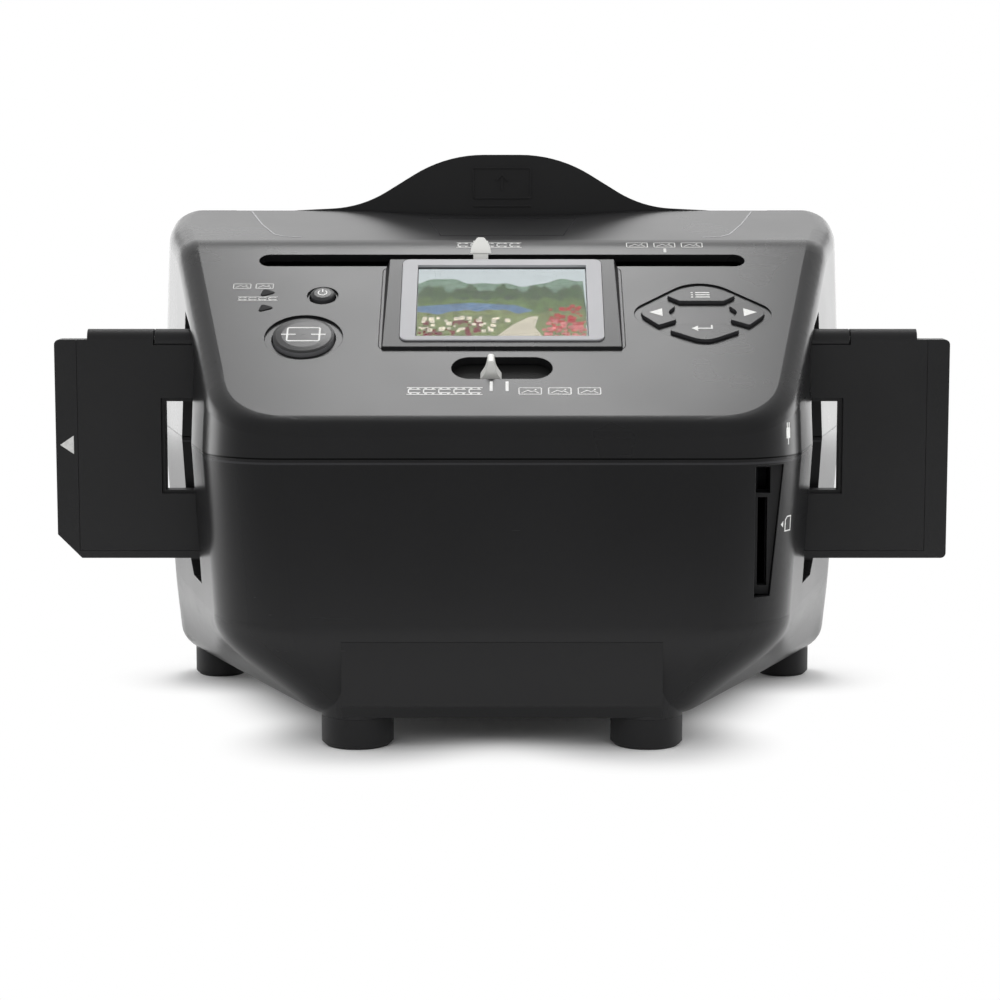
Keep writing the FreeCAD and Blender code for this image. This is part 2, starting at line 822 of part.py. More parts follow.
def underside_corners(inset="0"):
    return mirrored([
        (f"underside_front_half - ({inset})", f"{run_y('underside_front_run')} + ({inset})",
         f"underside_front_radius - ({inset})"),
        (f"underside_side_half - ({inset})", run_y("underside_side_run"), "underside_side_radius"),
        (f"underside_side_half - ({inset})", f"body_depth / 2 - underside_rear_inset - ({inset})",
         f"underside_rear_radius - ({inset})"),
    ])


def rounded(body, name, edges, radius):
    """Round the edges that a function picks on the body's shape so far."""
    doc.recompute()
    base = body.Tip
    fillet = body.newObject("PartDesign::Fillet", name)
    fillet.Base = (base, edges(base.Shape))
    bind(fillet, "Radius", radius)
    body.Tip = fillet


def level_edges(height):
    """Picks the edges that lie level at a height."""
    def pick(shape):
        names = []
        for i, edge in enumerate(shape.Edges, start=1):
            points = [edge.valueAt(edge.FirstParameter), edge.CenterOfMass,
                      edge.valueAt(edge.LastParameter)]
            if all(abs(point.z - measure(height)) < measure("round_end_gap") for point in points):
                names.append(f"Edge{i}")
        return names
    return pick


def bowl_corners(turn, inset):
    """Outline part-way from the foot of the walls to the underside, by a share of the turn."""
    pairs = zip(plan_corners(inset, "base_draft"), underside_corners(inset))
    return [tuple(f"(({high}) * (1 - {turn}) + ({low}) * {turn})" for high, low in zip(*pair))
            for pair in pairs]


def hull(name, inset, top, floor):
    """Base form: drafted walls that turn softly inwards into a bowl."""
    body = doc.addObject("PartDesign::Body", name)
    rim = outline(sketch_on(body, f"{name}_rim", level=top), plan_corners(inset))
    bend = outline(sketch_on(body, f"{name}_bend", level="bowl_top"), plan_corners(inset, "bowl_top_draft"))
    rows = []
    for i, (drop, turn) in enumerate(zip(bowl_drop_shares, bowl_turn_shares)):
        level = f"bowl_top + ({floor} - bowl_top) * {drop}"
        rows.append(outline(sketch_on(body, f"{name}_row{i}", level=level), bowl_corners(turn, inset)))
    loft_through(body, f"{name}_walls", [rim, bend], True)
    loft_through(body, f"{name}_bowl", [bend, *rows], False)
    return body


def roof_corners(inset):
    """Side view of the cover's top, in Y and Z, drawn in by an inset; it reaches down to the table."""
    front = f"{run_y('0')} + ({inset})"
    rear = f"body_depth / 2 - ({inset})"
    panel_drop = f"({inset}) / cos(panel_slope)"
    deck_drop = f"({inset}) / cos(deck_slope)"
    crease = f"(crease_run + ({inset}) * tan((panel_slope + deck_slope) / 2))"
    crease_z = f"{panel_z(crease)} - {panel_drop}"
    rear_run = f"(body_depth - crease_run - ({inset}))"
    rear_z = f"{panel_z('crease_run')} - {deck_drop} + {rear_run} * tan(deck_slope)"
    return [
        (front, "0", "0"),
        (rear, "0", "0"),
        (rear, rear_z, "0"),
        (run_y(crease), crease_z, f"crease_radius - ({inset})"),
        (front, f"{panel_z(inset)} - {panel_drop}", "0"),
    ]


def roof_prism(name, inset):
    return padded(name, roof_corners(inset), "3 * side_half_width", "YZ_Plane", midplane=True)


def cover_form(name, inset):
    """Drafted block with the roof cut to the panel and the deck, all its top edges rounded."""
    body = lofted(name, [
        ("seam_height", plan_corners(inset)),
        ("cover_block_height", plan_corners(inset, "cover_draft")),
    ])
    front = f"{run_y('0')} - overrun"
    rear = "body_depth / 2 + overrun"
    sky = "cover_block_height + overrun"
    panel_drop = f"({inset}) / cos(panel_slope)"
    crease = f"(crease_run + ({inset}) * tan((panel_slope + deck_slope) / 2))"
    crease_z = f"{panel_z(crease)} - {panel_drop}"
    sketch = outline(sketch_on(body, f"{name}_roof", "YZ_Plane"), [
        (front, f"{panel_z('-overrun')} - {panel_drop}", "0"),
        (run_y(crease), crease_z, f"crease_radius - ({inset})"),
        (rear, f"{crease_z} + (body_depth + overrun - {crease}) * tan(deck_slope)", "0"),
        (rear, sky, "0"),
        (front, sky, "0"),
    ])
    pocket = body.newObject("PartDesign::Pocket", f"{name}_roof_pocket")
    pocket.Profile = sketch
    pocket.SideType = "Symmetric"
    bind(pocket, "Length", "3 * side_half_width")
    rounded(body, f"{name}_rounding", sharp_top_edges, f"cover_edge_radius - ({inset})")
    return body


def sharp_top_edges(shape):
    """Names of the edges that bound the roof: above the seam, and not between tangent faces."""
    names = []
    lowest = measure("seam_height + overrun")
    for i, edge in enumerate(shape.Edges, start=1):
        if edge.BoundBox.ZMin < lowest:
            continue
        point = edge.valueAt((edge.FirstParameter + edge.LastParameter) / 2)
        normals = []
        for face in shape.ancestorsOfType(edge, Part.Face):
            u, v = face.Surface.parameter(point)
            normals.append(face.normalAt(u, v))
        if len(normals) == 2 and normals[0].getAngle(normals[1]) > math.radians(sharp_edge_degrees):
            names.append(f"Edge{i}")
    return names


def holder_opening(name):
    """Passage of the film holder through both sides, seen from the side, in Y and Z."""
    middle = f"{run_y('film_run')} - leaf_thickness"
    return padded(name, [
        (run_y("slot_front_run"), "slot_bottom", "0"),
        (f"{run_y('slot_rear_run')} - slot_chamfer", "slot_bottom", "0"),
        (run_y("slot_rear_run"), "slot_bottom + slot_chamfer", "0"),
        (run_y("slot_rear_run"), "slot_rear_top", "0"),
        (middle, "slot_middle_top", "0"),
        (run_y("slot_front_run"), "slot_front_top", "0"),
    ], "3 * side_half_width", "YZ_Plane", midplane=True)


def post_places():
    return [(f"{sign}{x}", run) for x, run in (("front_post_x", "front_post_run"),
                                              ("rear_post_x", "rear_post_run")) for sign in ("", "-")]


def base_housing():
    outside = hull("base_outside", "0", "seam_height", "underside_height")
    rounded(outside, "base_outside_rounding", level_edges("underside_height"), "underside_edge_radius")
    inside = hull("base_inside", "wall", "seam_height", "underside_height + wall")
    block_bottom = "(underside_height + block_lift)"
    centre = padded("front_block", [
        (run_y("0"), "wall_foot_height", "0"),
        (run_y("0"), f"{block_bottom} + block_bevel_height", "0"),
        (run_y("block_bevel_run"), block_bottom, "0"),
        (run_y("block_run"), block_bottom, "0"),
        (run_y("block_run"), "wall_foot_height", "0"),
    ], "2 * block_half_width", "YZ_Plane", midplane=True)
    bosses = [rod(f"{kind}_boss_{side}", f"{kind}_foot_radius", "underside_edge_radius",
                  (f"{sign}{kind}_foot_x", run_y(f"{kind}_foot_run"), "underside_height"))
              for kind in ("front", "rear") for side, sign in (("right", ""), ("left", "-"))]
    shell = cut("base_shell", fuse("base_solid", outside, centre, *bosses), inside)
    floor = "(underside_height + wall / 2)"
    posts = []
    bores = []
    for i, (x, run) in enumerate(post_places()):
        posts.append(rod(f"base_post{i}", "post_radius", f"post_joint_height - {floor}",
                         (x, run_y(run), floor)))
        bores.append(rod(f"base_bore{i}", "screw_radius + screw_fit", "post_joint_height",
                         (x, run_y(run), "0")))
        bores.append(rod(f"base_sink{i}", "screw_head_radius + screw_fit",
                         "underside_height + screw_head_height", (x, run_y(run), "0")))
    for i, x in enumerate(("frame_post_left", "frame_post_right")):
        posts.append(rod(f"frame_post{i}", "frame_post_radius", f"frame_sole_height - {floor}",
                         (x, run_y("rod_run"), floor)))
    for i, (x, run) in enumerate(standoff_places()):
        posts.append(rod(f"standoff{i}", "standoff_radius", f"main_board_height - {floor}",
                         (x, run_y(run), floor)))
    posts.append(port_rest())
    opening = holder_opening("base_holder_opening")
    port = port_block("port_hole", "0", "-overrun", "port_insert_run + port_insert_thickness + overrun")
    part("base_housing", cut("base_body", fuse("base_with_posts", shell, *posts), opening, port, *bores))


def standoff_places():
    return [(f"{sign}(main_board_half - main_board_inset)",
             f"main_board_{end}_run {inward} main_board_inset")
            for sign in ("", "-") for end, inward in (("front", "+"), ("rear", "-"))]


def port_rest():
    """Rib that rises from the sloping underside and carries the port board."""
    block = box("port_rest_block", ("port_board_x - wall", "port_board_x + board_thickness + wall"),
                (run_y("port_board_run + port_board_depth / 2"),
                 run_y("port_board_run + port_board_depth")),
                ("underside_height + wall / 2", "port_board_bottom"))
    limit = hull("port_rest_limit", "wall / 2", "seam_height", "underside_height + wall / 2")
    return common("port_rest", block, limit)


def pill(name, half, width, depth, rise):
    """Slot cutter with round ends, made on the panel."""
    return padded(name,
                  rectangle(half, f"-({width}) / 2", f"({width}) / 2", f"({width}) / 2 - round_end_gap"),
                  depth, level=rise)


def dish(name, radius, depth):
    return rod(name, radius, f"({depth}) + overrun", ("0", "0", "0"))


def key_shape(name, kind, grow, height, level):
    """Prism of a key's plan, grown all round."""
    if kind in ("scan", "power"):
        return revolved(name, [
            ("0", level, "0"), (f"{kind}_radius + {grow}", level, "0"),
            (f"{kind}_radius + {grow}", f"{level} + {height}", "0"), ("0", f"{level} + {height}", "0"),
        ])
    corners = side_key_corners(grow) if kind in ("left", "right") else pad_key_corners(grow)
    turned = {"left": "-", "lower": "-"}.get(kind, "")
    if kind in ("left", "right"):
        corners = [(f"{turned}({x})", y, radius) for x, y, radius in corners]
    else:
        corners = [(x, f"{turned}({y})", radius) for x, y, radius in corners]
    return padded(name, corners, height, level=level)


def side_key_corners(grow):
    """Right-hand key of the pad: pointed outwards, hollowed round the middle of the pad."""
    upper = [
        (f"side_key_inner - {grow}", f"side_key_half_length + {grow}", f"side_key_corner_radius + {grow}"),
        (f"side_key_shoulder + {grow} / 2", f"side_key_shoulder_length + {grow}",
         f"side_key_corner_radius + {grow}"),
    ]
    lower = [(x, f"-({y})", radius) for x, y, radius in reversed(upper)]
    waist = (f"side_key_waist - {grow}", "0", f"side_key_waist_radius - {grow}")
    tip = (f"side_key_tip + {grow}", "0", f"side_key_tip_radius + {grow}")
    return [waist] + upper + [tip] + lower


def pad_key_corners(grow):
    """Upper key of the pad: flat towards the middle, with sloping ends and an arched far edge."""
    right = [
        (f"pad_key_inner_half + {grow} / 2", f"pad_key_inner - {grow}", f"pad_key_corner_radius + {grow}"),
        (f"pad_key_half + {grow}", f"pad_key_shoulder - {grow} / 2", f"pad_key_corner_radius + {grow}"),
    ]
    left = [(f"-({x})", y, radius) for x, y, radius in reversed(right)]
    return right + [("0", f"pad_key_outer + {grow}", f"pad_key_arch_radius + {grow}")] + left


def key_places():
    """Each key: kind, place of its outline across and along the panel, and its dome's place from there."""
    across = "(side_key_waist + side_key_tip) / 2"
    along = "(pad_key_inner + pad_key_outer) / 2"
    return {
        "scan_button": ("scan", "scan_x", "scan_run", "0", "0"),
        "power_button": ("power", "power_x", "power_run", "0", "0"),
        "mode_button": ("upper", "pad_x", "pad_run", "0", along),
        "enter_button": ("lower", "pad_x", "pad_run", "0", f"-{along}"),
        "left_button": ("left", "pad_x", "pad_run", f"-{across}", "0"),
        "right_button": ("right", "pad_x", "pad_run", across, "0"),
    }


def key_cutters():
    cutters = []
    for name, (kind, x, run, *_) in key_places().items():
        fit = "round_key_fit" if kind in ("scan", "power") else "key_fit"
        hole = key_shape(f"{name}_hole", kind, fit, "wall + 3 * overrun", "-wall - overrun")
        cutters.append(on_panel(hole, x, run))
        if kind in ("scan", "power"):
            bowl = dish(f"{name}_dish", f"{kind}_dish_radius", "dish_depth")
            cutters.append(on_panel(bowl, x, run, "-dish_depth"))
    bowl = padded("pad_dish", [
        ("pad_half_width + pad_side_point", "0", "pad_side_radius"),
        ("0", "pad_half_length + pad_end_point", "pad_end_radius"),
        ("-(pad_half_width + pad_side_point)", "0", "pad_side_radius"),
        ("0", "-(pad_half_length + pad_end_point)", "pad_end_radius"),
    ], "pad_depth + overrun")
    cutters.append(on_panel(bowl, "pad_x", "pad_run", "-pad_depth"))
    return cutters


def light_corners(grow):
    """Triangle that points to the right, with rounded corners, measured from its inner circle's centre."""
    scale = f"(1 + ({grow}) / status_inner_radius)"
    corners = (("-status_foot_x", "-status_foot_y"), ("status_tip_x", "-status_tip_y"),
               ("-status_top_x", "status_top_y"))
    return [(f"({x}) * {scale}", f"({y}) * {scale}", f"status_radius + {grow}") for x, y in corners]


def status_light(name, run, grow, height, rise):
    return on_panel(padded(name, light_corners(grow), height), "status_x", run, rise)


def board_post_places():
    return [(x, "board_post_run") for x in (
        "key_board_left_outer + key_board_margin", "key_board_left_inner - key_board_margin",
        "key_board_right_inner + key_board_margin", "key_board_right_outer - key_board_margin",
    )]


def key_board_rise():
    """Rise of the key board's upper face: below the wall, the flange, its travel and the dome."""
    return "-(wall + key_flange_gap + key_flange_thickness + key_travel + dome_gap + dome_height)"


def top_cover():
    shell = cut("cover_shell", cover_form("cover_outside", "0"), cover_form("cover_inside", "wall"))
    posts = []
    for i, (x, run) in enumerate(post_places()):
        post = rod(f"cover_post{i}", "post_radius", "cover_block_height - post_joint_height",
                   (x, run_y(run), "post_joint_height"))
        posts.append(post)
    posts_in = common("cover_posts", fuse("cover_post_group", *posts), roof_prism("post_limit", "wall / 2"))
    bores = []
    for i, (x, run) in enumerate(post_places()):
        bores.append(rod(f"cover_bore{i}", "screw_radius + screw_fit",
                         "screw_length", (x, run_y(run), "underside_height + screw_head_height")))
    board_posts = []
    for i, (x, run) in enumerate(board_post_places()):
        post = rod(f"board_post{i}", "board_post_radius", f"-({key_board_rise()}) - wall / 2",
                   ("0", "0", "0"))
        board_posts.append(on_panel(post, x, run, key_board_rise()))
    hole = padded("display_hole", rectangle("display_hole_half", "display_hole_start", "display_hole_end"),
                  "wall + 3 * overrun", level="-wall - overrun")
    seat = padded("display_seat", rectangle("display_half_width + glass_fit", "-glass_fit",
                                            "display_length + glass_fit", "bezel_corner_radius"),
                  "display_sink + overrun", level="-display_sink")
    cutters = [on_panel(hole, "0", "display_run"), on_panel(seat, "0", "display_run")]
    cutters += key_cutters()
    cutters.append(on_panel(pill("long_slot", "long_slot_half", "long_slot_width", "wall + 3 * overrun",
                                 "-wall - overrun"), "0", "long_slot_run"))
    cutters.append(on_panel(pill("short_slot", "short_slot_half", "short_slot_width", "wall + 3 * overrun",
                                 "-wall - overrun"), "0", "short_slot_run"))
    for i, run in enumerate(("upper_status_run", "lower_status_run")):
        cutters.append(status_light(f"light_hole{i}", run, "status_fit", "wall + 3 * overrun",
                                    "-wall - overrun"))
    cutters.append(slab("tray_slot", "tray_half_width + tray_clearance",
                        (run_y("tray_front_run - tray_clearance"), run_y("tray_rear_run + tray_clearance")),
                        ("seam_height", "cover_block_height + overrun")))
    cutters.append(slab("rear_step", "side_half_width + overrun",
                        (run_y("tray_front_run"), "body_depth / 2 + overrun"),
                        ("tray_shoulder", "cover_block_height + overrun")))
    deck_z = f"({panel_z('crease_run')} + (tray_front_run - crease_run) * tan(deck_slope))"
    cutters.append(rod_y("thumb_scoop", "scoop_radius", run_y("scoop_run"), run_y("tray_front_run"),
                         "0", f"{deck_z} - scoop_depth + scoop_radius"))
    cutters.append(holder_opening("cover_holder_opening"))
    solid = fuse("cover_with_posts", shell, posts_in, *board_posts)
    part("top_cover", cut("cover_body", solid, *cutters, *bores))


def foot(name, kind, x):
    body = revolved(name, [
        ("0", "0", "0"), (f"{kind}_foot_radius - foot_bevel", "0", "0"),
        (f"{kind}_foot_radius", "foot_bevel", "0"), (f"{kind}_foot_radius", "underside_height", "0"),
        ("0", "underside_height", "0"),
    ])
    return place(body, (x, run_y(f"{kind}_foot_run"), "0"))


def feet():
    for kind in ("front", "rear"):
        pair = [foot(f"{kind}_foot_{side}", kind, f"{sign}{kind}_foot_x")
                for side, sign in (("right", ""), ("left", "-"))]
        part(f"{kind}_feet", group(f"{kind}_feet_pair", *pair))


def case_screws():
    screws = []
    for i, (x, run) in enumerate(post_places()):
        screw = revolved(f"case_screw{i}", [
            ("0", "0", "0"), ("screw_head_radius", "0", "0"),
            ("screw_head_radius", "screw_head_height", "0"),
            ("screw_radius", "screw_head_height", "0"), ("screw_radius", "screw_length", "0"),
            ("0", "screw_length", "0"),
        ])
        screws.append(place(screw, (x, run_y(run), "underside_height")))
    part("case_screws", group("case_screw_set", *screws))


# Film holder

def leaf_windows(name, y, flare):
    """Four window cutters through a leaf."""
    windows = []
    for i, step in enumerate(("-3", "-1", "1", "3")):
        centre = f"({step}) * window_pitch / 2"
        windows.append(box(f"{name}{i}", (f"{centre} - window_width / 2 - {flare}",
                                          f"{centre} + window_width / 2 + {flare}"),
                           y, (f"film_axis_height - window_height / 2 - {flare}",
                               f"film_axis_height + window_height / 2 + {flare}")))
    return windows


def hinge_rod(name, radius, side, start, end):
    """Rod on the hinge's axis, at one side of the holder."""
    low, high = (start, end) if side == "" else (f"-({end})", f"-({start})")
    return rod_x(name, radius, low, high, run_y("film_run"), "holder_top")


def film_holder():
    middle = run_y("film_run")
    front = f"{middle} - leaf_thickness"
    rear = f"{middle} + leaf_thickness"
    half = "holder_half"
    back_corners = [
        (f"-{half} + holder_chamfer", "holder_bottom", "0"),
        (half, "holder_bottom", "holder_corner_radius"),
        (half, "holder_top", "holder_corner_radius"),
        (f"-{half}", "holder_top", "holder_corner_radius"),
        (f"-{half}", "holder_bottom + holder_chamfer", "0"),
    ]
    back = place(padded("back_leaf", back_corners, "leaf_thickness", "XZ_Plane"), ("0", rear, "0"))
    border = box("back_border", (f"-{half}", half), (front, middle), ("holder_bottom", "holder_top"))
    inner = slab("lid_room", "lid_half_length + glass_fit", (f"{front} - overrun", middle),
                 ("lid_bottom - glass_fit", "holder_top + overrun"))
    rim_limit = place(padded("rim_limit", back_corners, "2 * leaf_thickness", "XZ_Plane"), ("0", rear, "0"))
    rim = cut("back_rim", common("back_rim_block", border, rim_limit), inner)
    lid = slab("lid_leaf", "lid_half_length", (front, middle), ("lid_bottom", "holder_top"))
    back_barrels = []
    lid_barrels = []
    back_clear = []
    lid_clear = []
    bores = []
    pins = []
    wide = "hinge_radius + hinge_gap"
    for tag, side in (("right", ""), ("left", "-")):
        back_barrels.append(hinge_rod(f"back_barrel_{tag}", "hinge_radius", side, "hinge_back_start",
                                      "hinge_lid_start - hinge_gap"))
        lid_barrels.append(hinge_rod(f"lid_barrel_{tag}", "hinge_radius", side, "hinge_lid_start",
                                     "hinge_lid_end"))
        back_clear.append(hinge_rod(f"back_clear_{tag}", wide, side, "hinge_lid_start - hinge_gap",
                                    "hinge_lid_end + hinge_gap"))
        lid_clear.append(hinge_rod(f"lid_clear_{tag}", wide, side, "hinge_back_start - hinge_gap",
                                   "hinge_lid_start"))
        bores.append(hinge_rod(f"hinge_bore_{tag}", "hinge_pin_radius + hinge_pin_fit", side,
                               "hinge_back_start - overrun", "hinge_lid_end + overrun"))
        pins.append(hinge_rod(f"hinge_pin_{tag}", "hinge_pin_radius", side, "hinge_back_start",
                              "hinge_lid_end"))
    magnets = []
    pockets = []
    for i, side in enumerate(("", "-")):
        magnets.append(rod_y(f"magnet{i}", "magnet_radius", middle, f"{middle} + magnet_depth",
                             f"{side}magnet_x", "magnet_height"))
        pockets.append(rod_y(f"magnet_pocket{i}", "magnet_radius + magnet_fit", f"{middle} - overrun",
                             f"{middle} + magnet_depth", f"{side}magnet_x", "magnet_height"))
    back_plain = cut("back_relieved", fuse("back_plate", back, rim), *back_clear)
    back_solid = fuse("back_with_barrels", back_plain, *back_barrels)
    back_windows = leaf_windows("back_window", (f"{middle} - overrun", f"{rear} + overrun"), "0")
    part("holder_back", cut("holder_back_body", back_solid, *back_windows, *pockets, *bores))
    lid_plain = cut("lid_relieved", lid, *lid_clear)
    lid_solid = fuse("lid_with_barrels", lid_plain, *lid_barrels)
    lid_windows = leaf_windows("lid_window", (f"{front} - overrun", f"{middle} + overrun"), "0")
    lid_flares = leaf_windows("lid_flare", (f"{front} - overrun", f"{front} + window_flare"),
                              "window_flare")
    part("holder_lid", cut("holder_lid_body", lid_solid, *lid_windows, *lid_flares, *bores))
    part("holder_hinge_pins", group("hinge_pin_pair", *pins))
    part("holder_magnets", group("magnet_pair", *magnets))


def slot_trims():
    """Black trims inside the side openings, parallel to the side walls, with the holder's slit."""
    low = slab("trim_limit_low", "side_half_width", (run_y("slot_front_run - overrun - trim_overlap"),
                                                     run_y("slot_rear_run + overrun + trim_overlap")),
               ("slot_bottom - overrun - trim_overlap", "seam_height"))
    limit = fuse("trim_limit", low, cover_form("trim_limit_high", "(wall + trim_gap)"))
    for tag, sign in (("right", ""), ("left", "-")):
        start = "(slot_front_run - trim_overlap)"
        end = "(slot_rear_run + trim_overlap)"
        outer = "(front_half_width - base_draft - wall - trim_wall_gap - trim_gap)"
        corners = [
            (f"{sign}({outer} + {start} * wall_slope - trim_thickness)", run_y(start), "0"),
            (f"{sign}({outer} + {start} * wall_slope)", run_y(start), "0"),
            (f"{sign}({outer} + {end} * wall_slope)", run_y(end), "0"),
            (f"{sign}({outer} + {end} * wall_slope - trim_thickness)", run_y(end), "0"),
        ]
        plate = padded(f"{tag}_trim_plate", corners, "cover_block_height",
                       level="slot_bottom - trim_overlap")
        slit = slab(f"{tag}_trim_slit", "side_half_width",
                    (f"{run_y('film_run')} - leaf_thickness - holder_clearance",
                     f"{run_y('film_run')} + leaf_thickness + holder_clearance"),
                    ("holder_bottom - holder_clearance", "holder_top + hinge_radius + holder_clearance"))
        part(f"{tag}_slot_trim", cut(f"{tag}_trim_body", common(f"{tag}_trim_block", plate, limit), slit))


def film_gate():
    """Two plates with the holder's channel between them, on two legs."""
    front_face = run_y("gate_front_run + gate_front_thickness")
    rear_face = f"{run_y('film_run')} + leaf_thickness + holder_clearance"
    floor_top = "(holder_bottom - holder_clearance)"
    ends = (run_y("gate_front_run"), f"{rear_face} + gate_rear_thickness")
    block = slab("gate_block", "gate_half_width", ends, (f"{floor_top} - gate_floor", "gate_top"))
    channel = slab("gate_channel", "gate_half_width + overrun", (front_face, rear_face),
                   (floor_top, "gate_top + overrun"))
    window = slab("gate_window", "gate_window_half", (f"{ends[0]} - overrun", f"{ends[1]} + overrun"),
                  ("film_axis_height - gate_window_height / 2",
                   "film_axis_height + gate_window_height / 2"))
    legs = [box(f"gate_leg{i}",
                (f"{side}gate_leg_x - gate_leg_width / 2", f"{side}gate_leg_x + gate_leg_width / 2"),
                ends, ("underside_height + wall", f"{floor_top} - gate_floor / 2"))
            for i, side in enumerate(("", "-"))]
    part("film_gate", cut("film_gate_body", fuse("gate_solid", block, *legs), channel, window))


# Light carriage

def light_planes():
    return run_y("light_front_run"), run_y("light_rear_run")


def light_carriage():
    front, rear = light_planes()
    low = "(film_axis_height - light_height / 2)"
    high = "(film_axis_height + light_height / 2)"
    block = slab("light_block", "light_half_width", (front, rear), (low, high))
    room = slab("light_room", "light_half_width - light_wall",
                (f"{front} - overrun", f"{rear} - light_wall"),
                (f"{low} + light_wall", f"{high} - light_wall"))
    lugs = []
    bores = []
    for tag, low_z, high_z, rod_z in (("upper", high, f"{high} + lug_height", f"{high} + rod_inset"),
                                      ("lower", f"{low} - lug_height", low, f"{low} - rod_inset")):
        lugs.append(slab(f"{tag}_lug", "lug_half_width", (run_y("lug_front_run"), run_y("lug_rear_run")),
                         (low_z, high_z)))
        bores.append(rod_x(f"{tag}_lug_bore", "rod_radius + rod_fit", "-lug_half_width - overrun",
                           "lug_half_width + overrun", run_y("rod_run"), rod_z))
    part("light_housing", fuse("light_housing_body", cut("light_shell", block, room),
                               cut("light_lugs", fuse("light_lug_pair", *lugs), *bores)))
    part("light_diffuser", slab("light_diffuser_plate", "light_half_width - light_wall - light_fit",
                                (front, f"{front} + diffuser_thickness"),
                                (f"{low} + light_wall + light_fit", f"{high} - light_wall - light_fit")))
    board_rear = f"({rear} - light_wall - light_fit)"
    board = slab("light_board_plate", "light_half_width - light_wall - light_fit",
                 (f"{board_rear} - board_thickness", board_rear),
                 (f"{low} + light_wall + light_fit", f"{high} - light_wall - light_fit"))
    lamps = []
    for i, across in enumerate(lamp_place_shares):
        for j, up in enumerate(lamp_place_shares):
            x = f"({across} * light_half_width)"
            z = f"(film_axis_height + {up} * light_height / 2)"
            lamps.append(box(f"light_lamp{i}{j}", (f"{x} - lamp_size / 2", f"{x} + lamp_size / 2"),
                             (f"{board_rear} - board_thickness - lamp_height",
                              f"{board_rear} - board_thickness / 2"),
                             (f"{z} - lamp_size / 2", f"{z} + lamp_size / 2")))
    part("light_board", fuse("light_board_body", board, *lamps))


def carriage_frame():
    depth = (run_y("rod_run - frame_half_depth"), run_y("rod_run + frame_half_depth"))
    sole = box("frame_sole_plate", ("frame_left", "frame_right"), depth,
               ("frame_sole_height", "frame_sole_height + frame_sole"))
    left = box("frame_left_plate", ("frame_left", "frame_left + frame_plate"), depth,
               ("frame_sole_height", "frame_top"))
    right = box("frame_right_plate", ("frame_right - frame_plate", "frame_right"), depth,
                ("frame_sole_height", "frame_top"))
    heights = ("film_axis_height + light_height / 2 + rod_inset",
               "film_axis_height - light_height / 2 - rod_inset")
    bores = [rod_x(f"frame_bore{i}", "rod_radius + rod_fit", "frame_left - overrun",
                   "frame_right + overrun",
                   run_y("rod_run"), z) for i, z in enumerate(heights)]
    part("carriage_frame", cut("carriage_frame_body", fuse("frame_solid", sole, left, right), *bores))
    rods = [rod_x(f"carriage_rod{i}", "rod_radius", "frame_left", "frame_right", run_y("rod_run"), z)
            for i, z in enumerate(heights)]
    part("carriage_rods", group("carriage_rod_pair", *rods))


def film_pointer():
    foot_z = "(film_axis_height + light_height / 2 + lug_height)"
    plate = box("pointer_foot", ("pointer_x - pointer_foot_half", "pointer_x + pointer_foot_half"),
                (run_y("lug_front_run"), run_y("lug_rear_run")),
                (foot_z, f"{foot_z} + pointer_foot_thickness"))
    stem = box("pointer_stem", ("pointer_x - pointer_stem_half", "pointer_x + pointer_stem_half"),
               (run_y("pointer_front_run"), run_y("pointer_rear_run")),
               (foot_z, "pointer_tip_height - overrun"))
    knob = padded("pointer_knob", mirrored([
        ("pointer_knob_half", "0", "0"),
        ("pointer_knob_shoulder_half", "pointer_knob_shoulder_rise", "pointer_knob_shoulder_radius"),
        ("pointer_tip_half", "pointer_knob_height", "pointer_tip_radius"),
    ]), "pointer_rear_run - pointer_front_run + 2 * pointer_knob_lap", "XZ_Plane", midplane=True)
    place(knob, ("pointer_x", run_y("(pointer_front_run + pointer_rear_run) / 2"), "pointer_knob_foot"))
    part("film_pointer", fuse("film_pointer_body", plate, stem, knob))


# Focus lever and camera

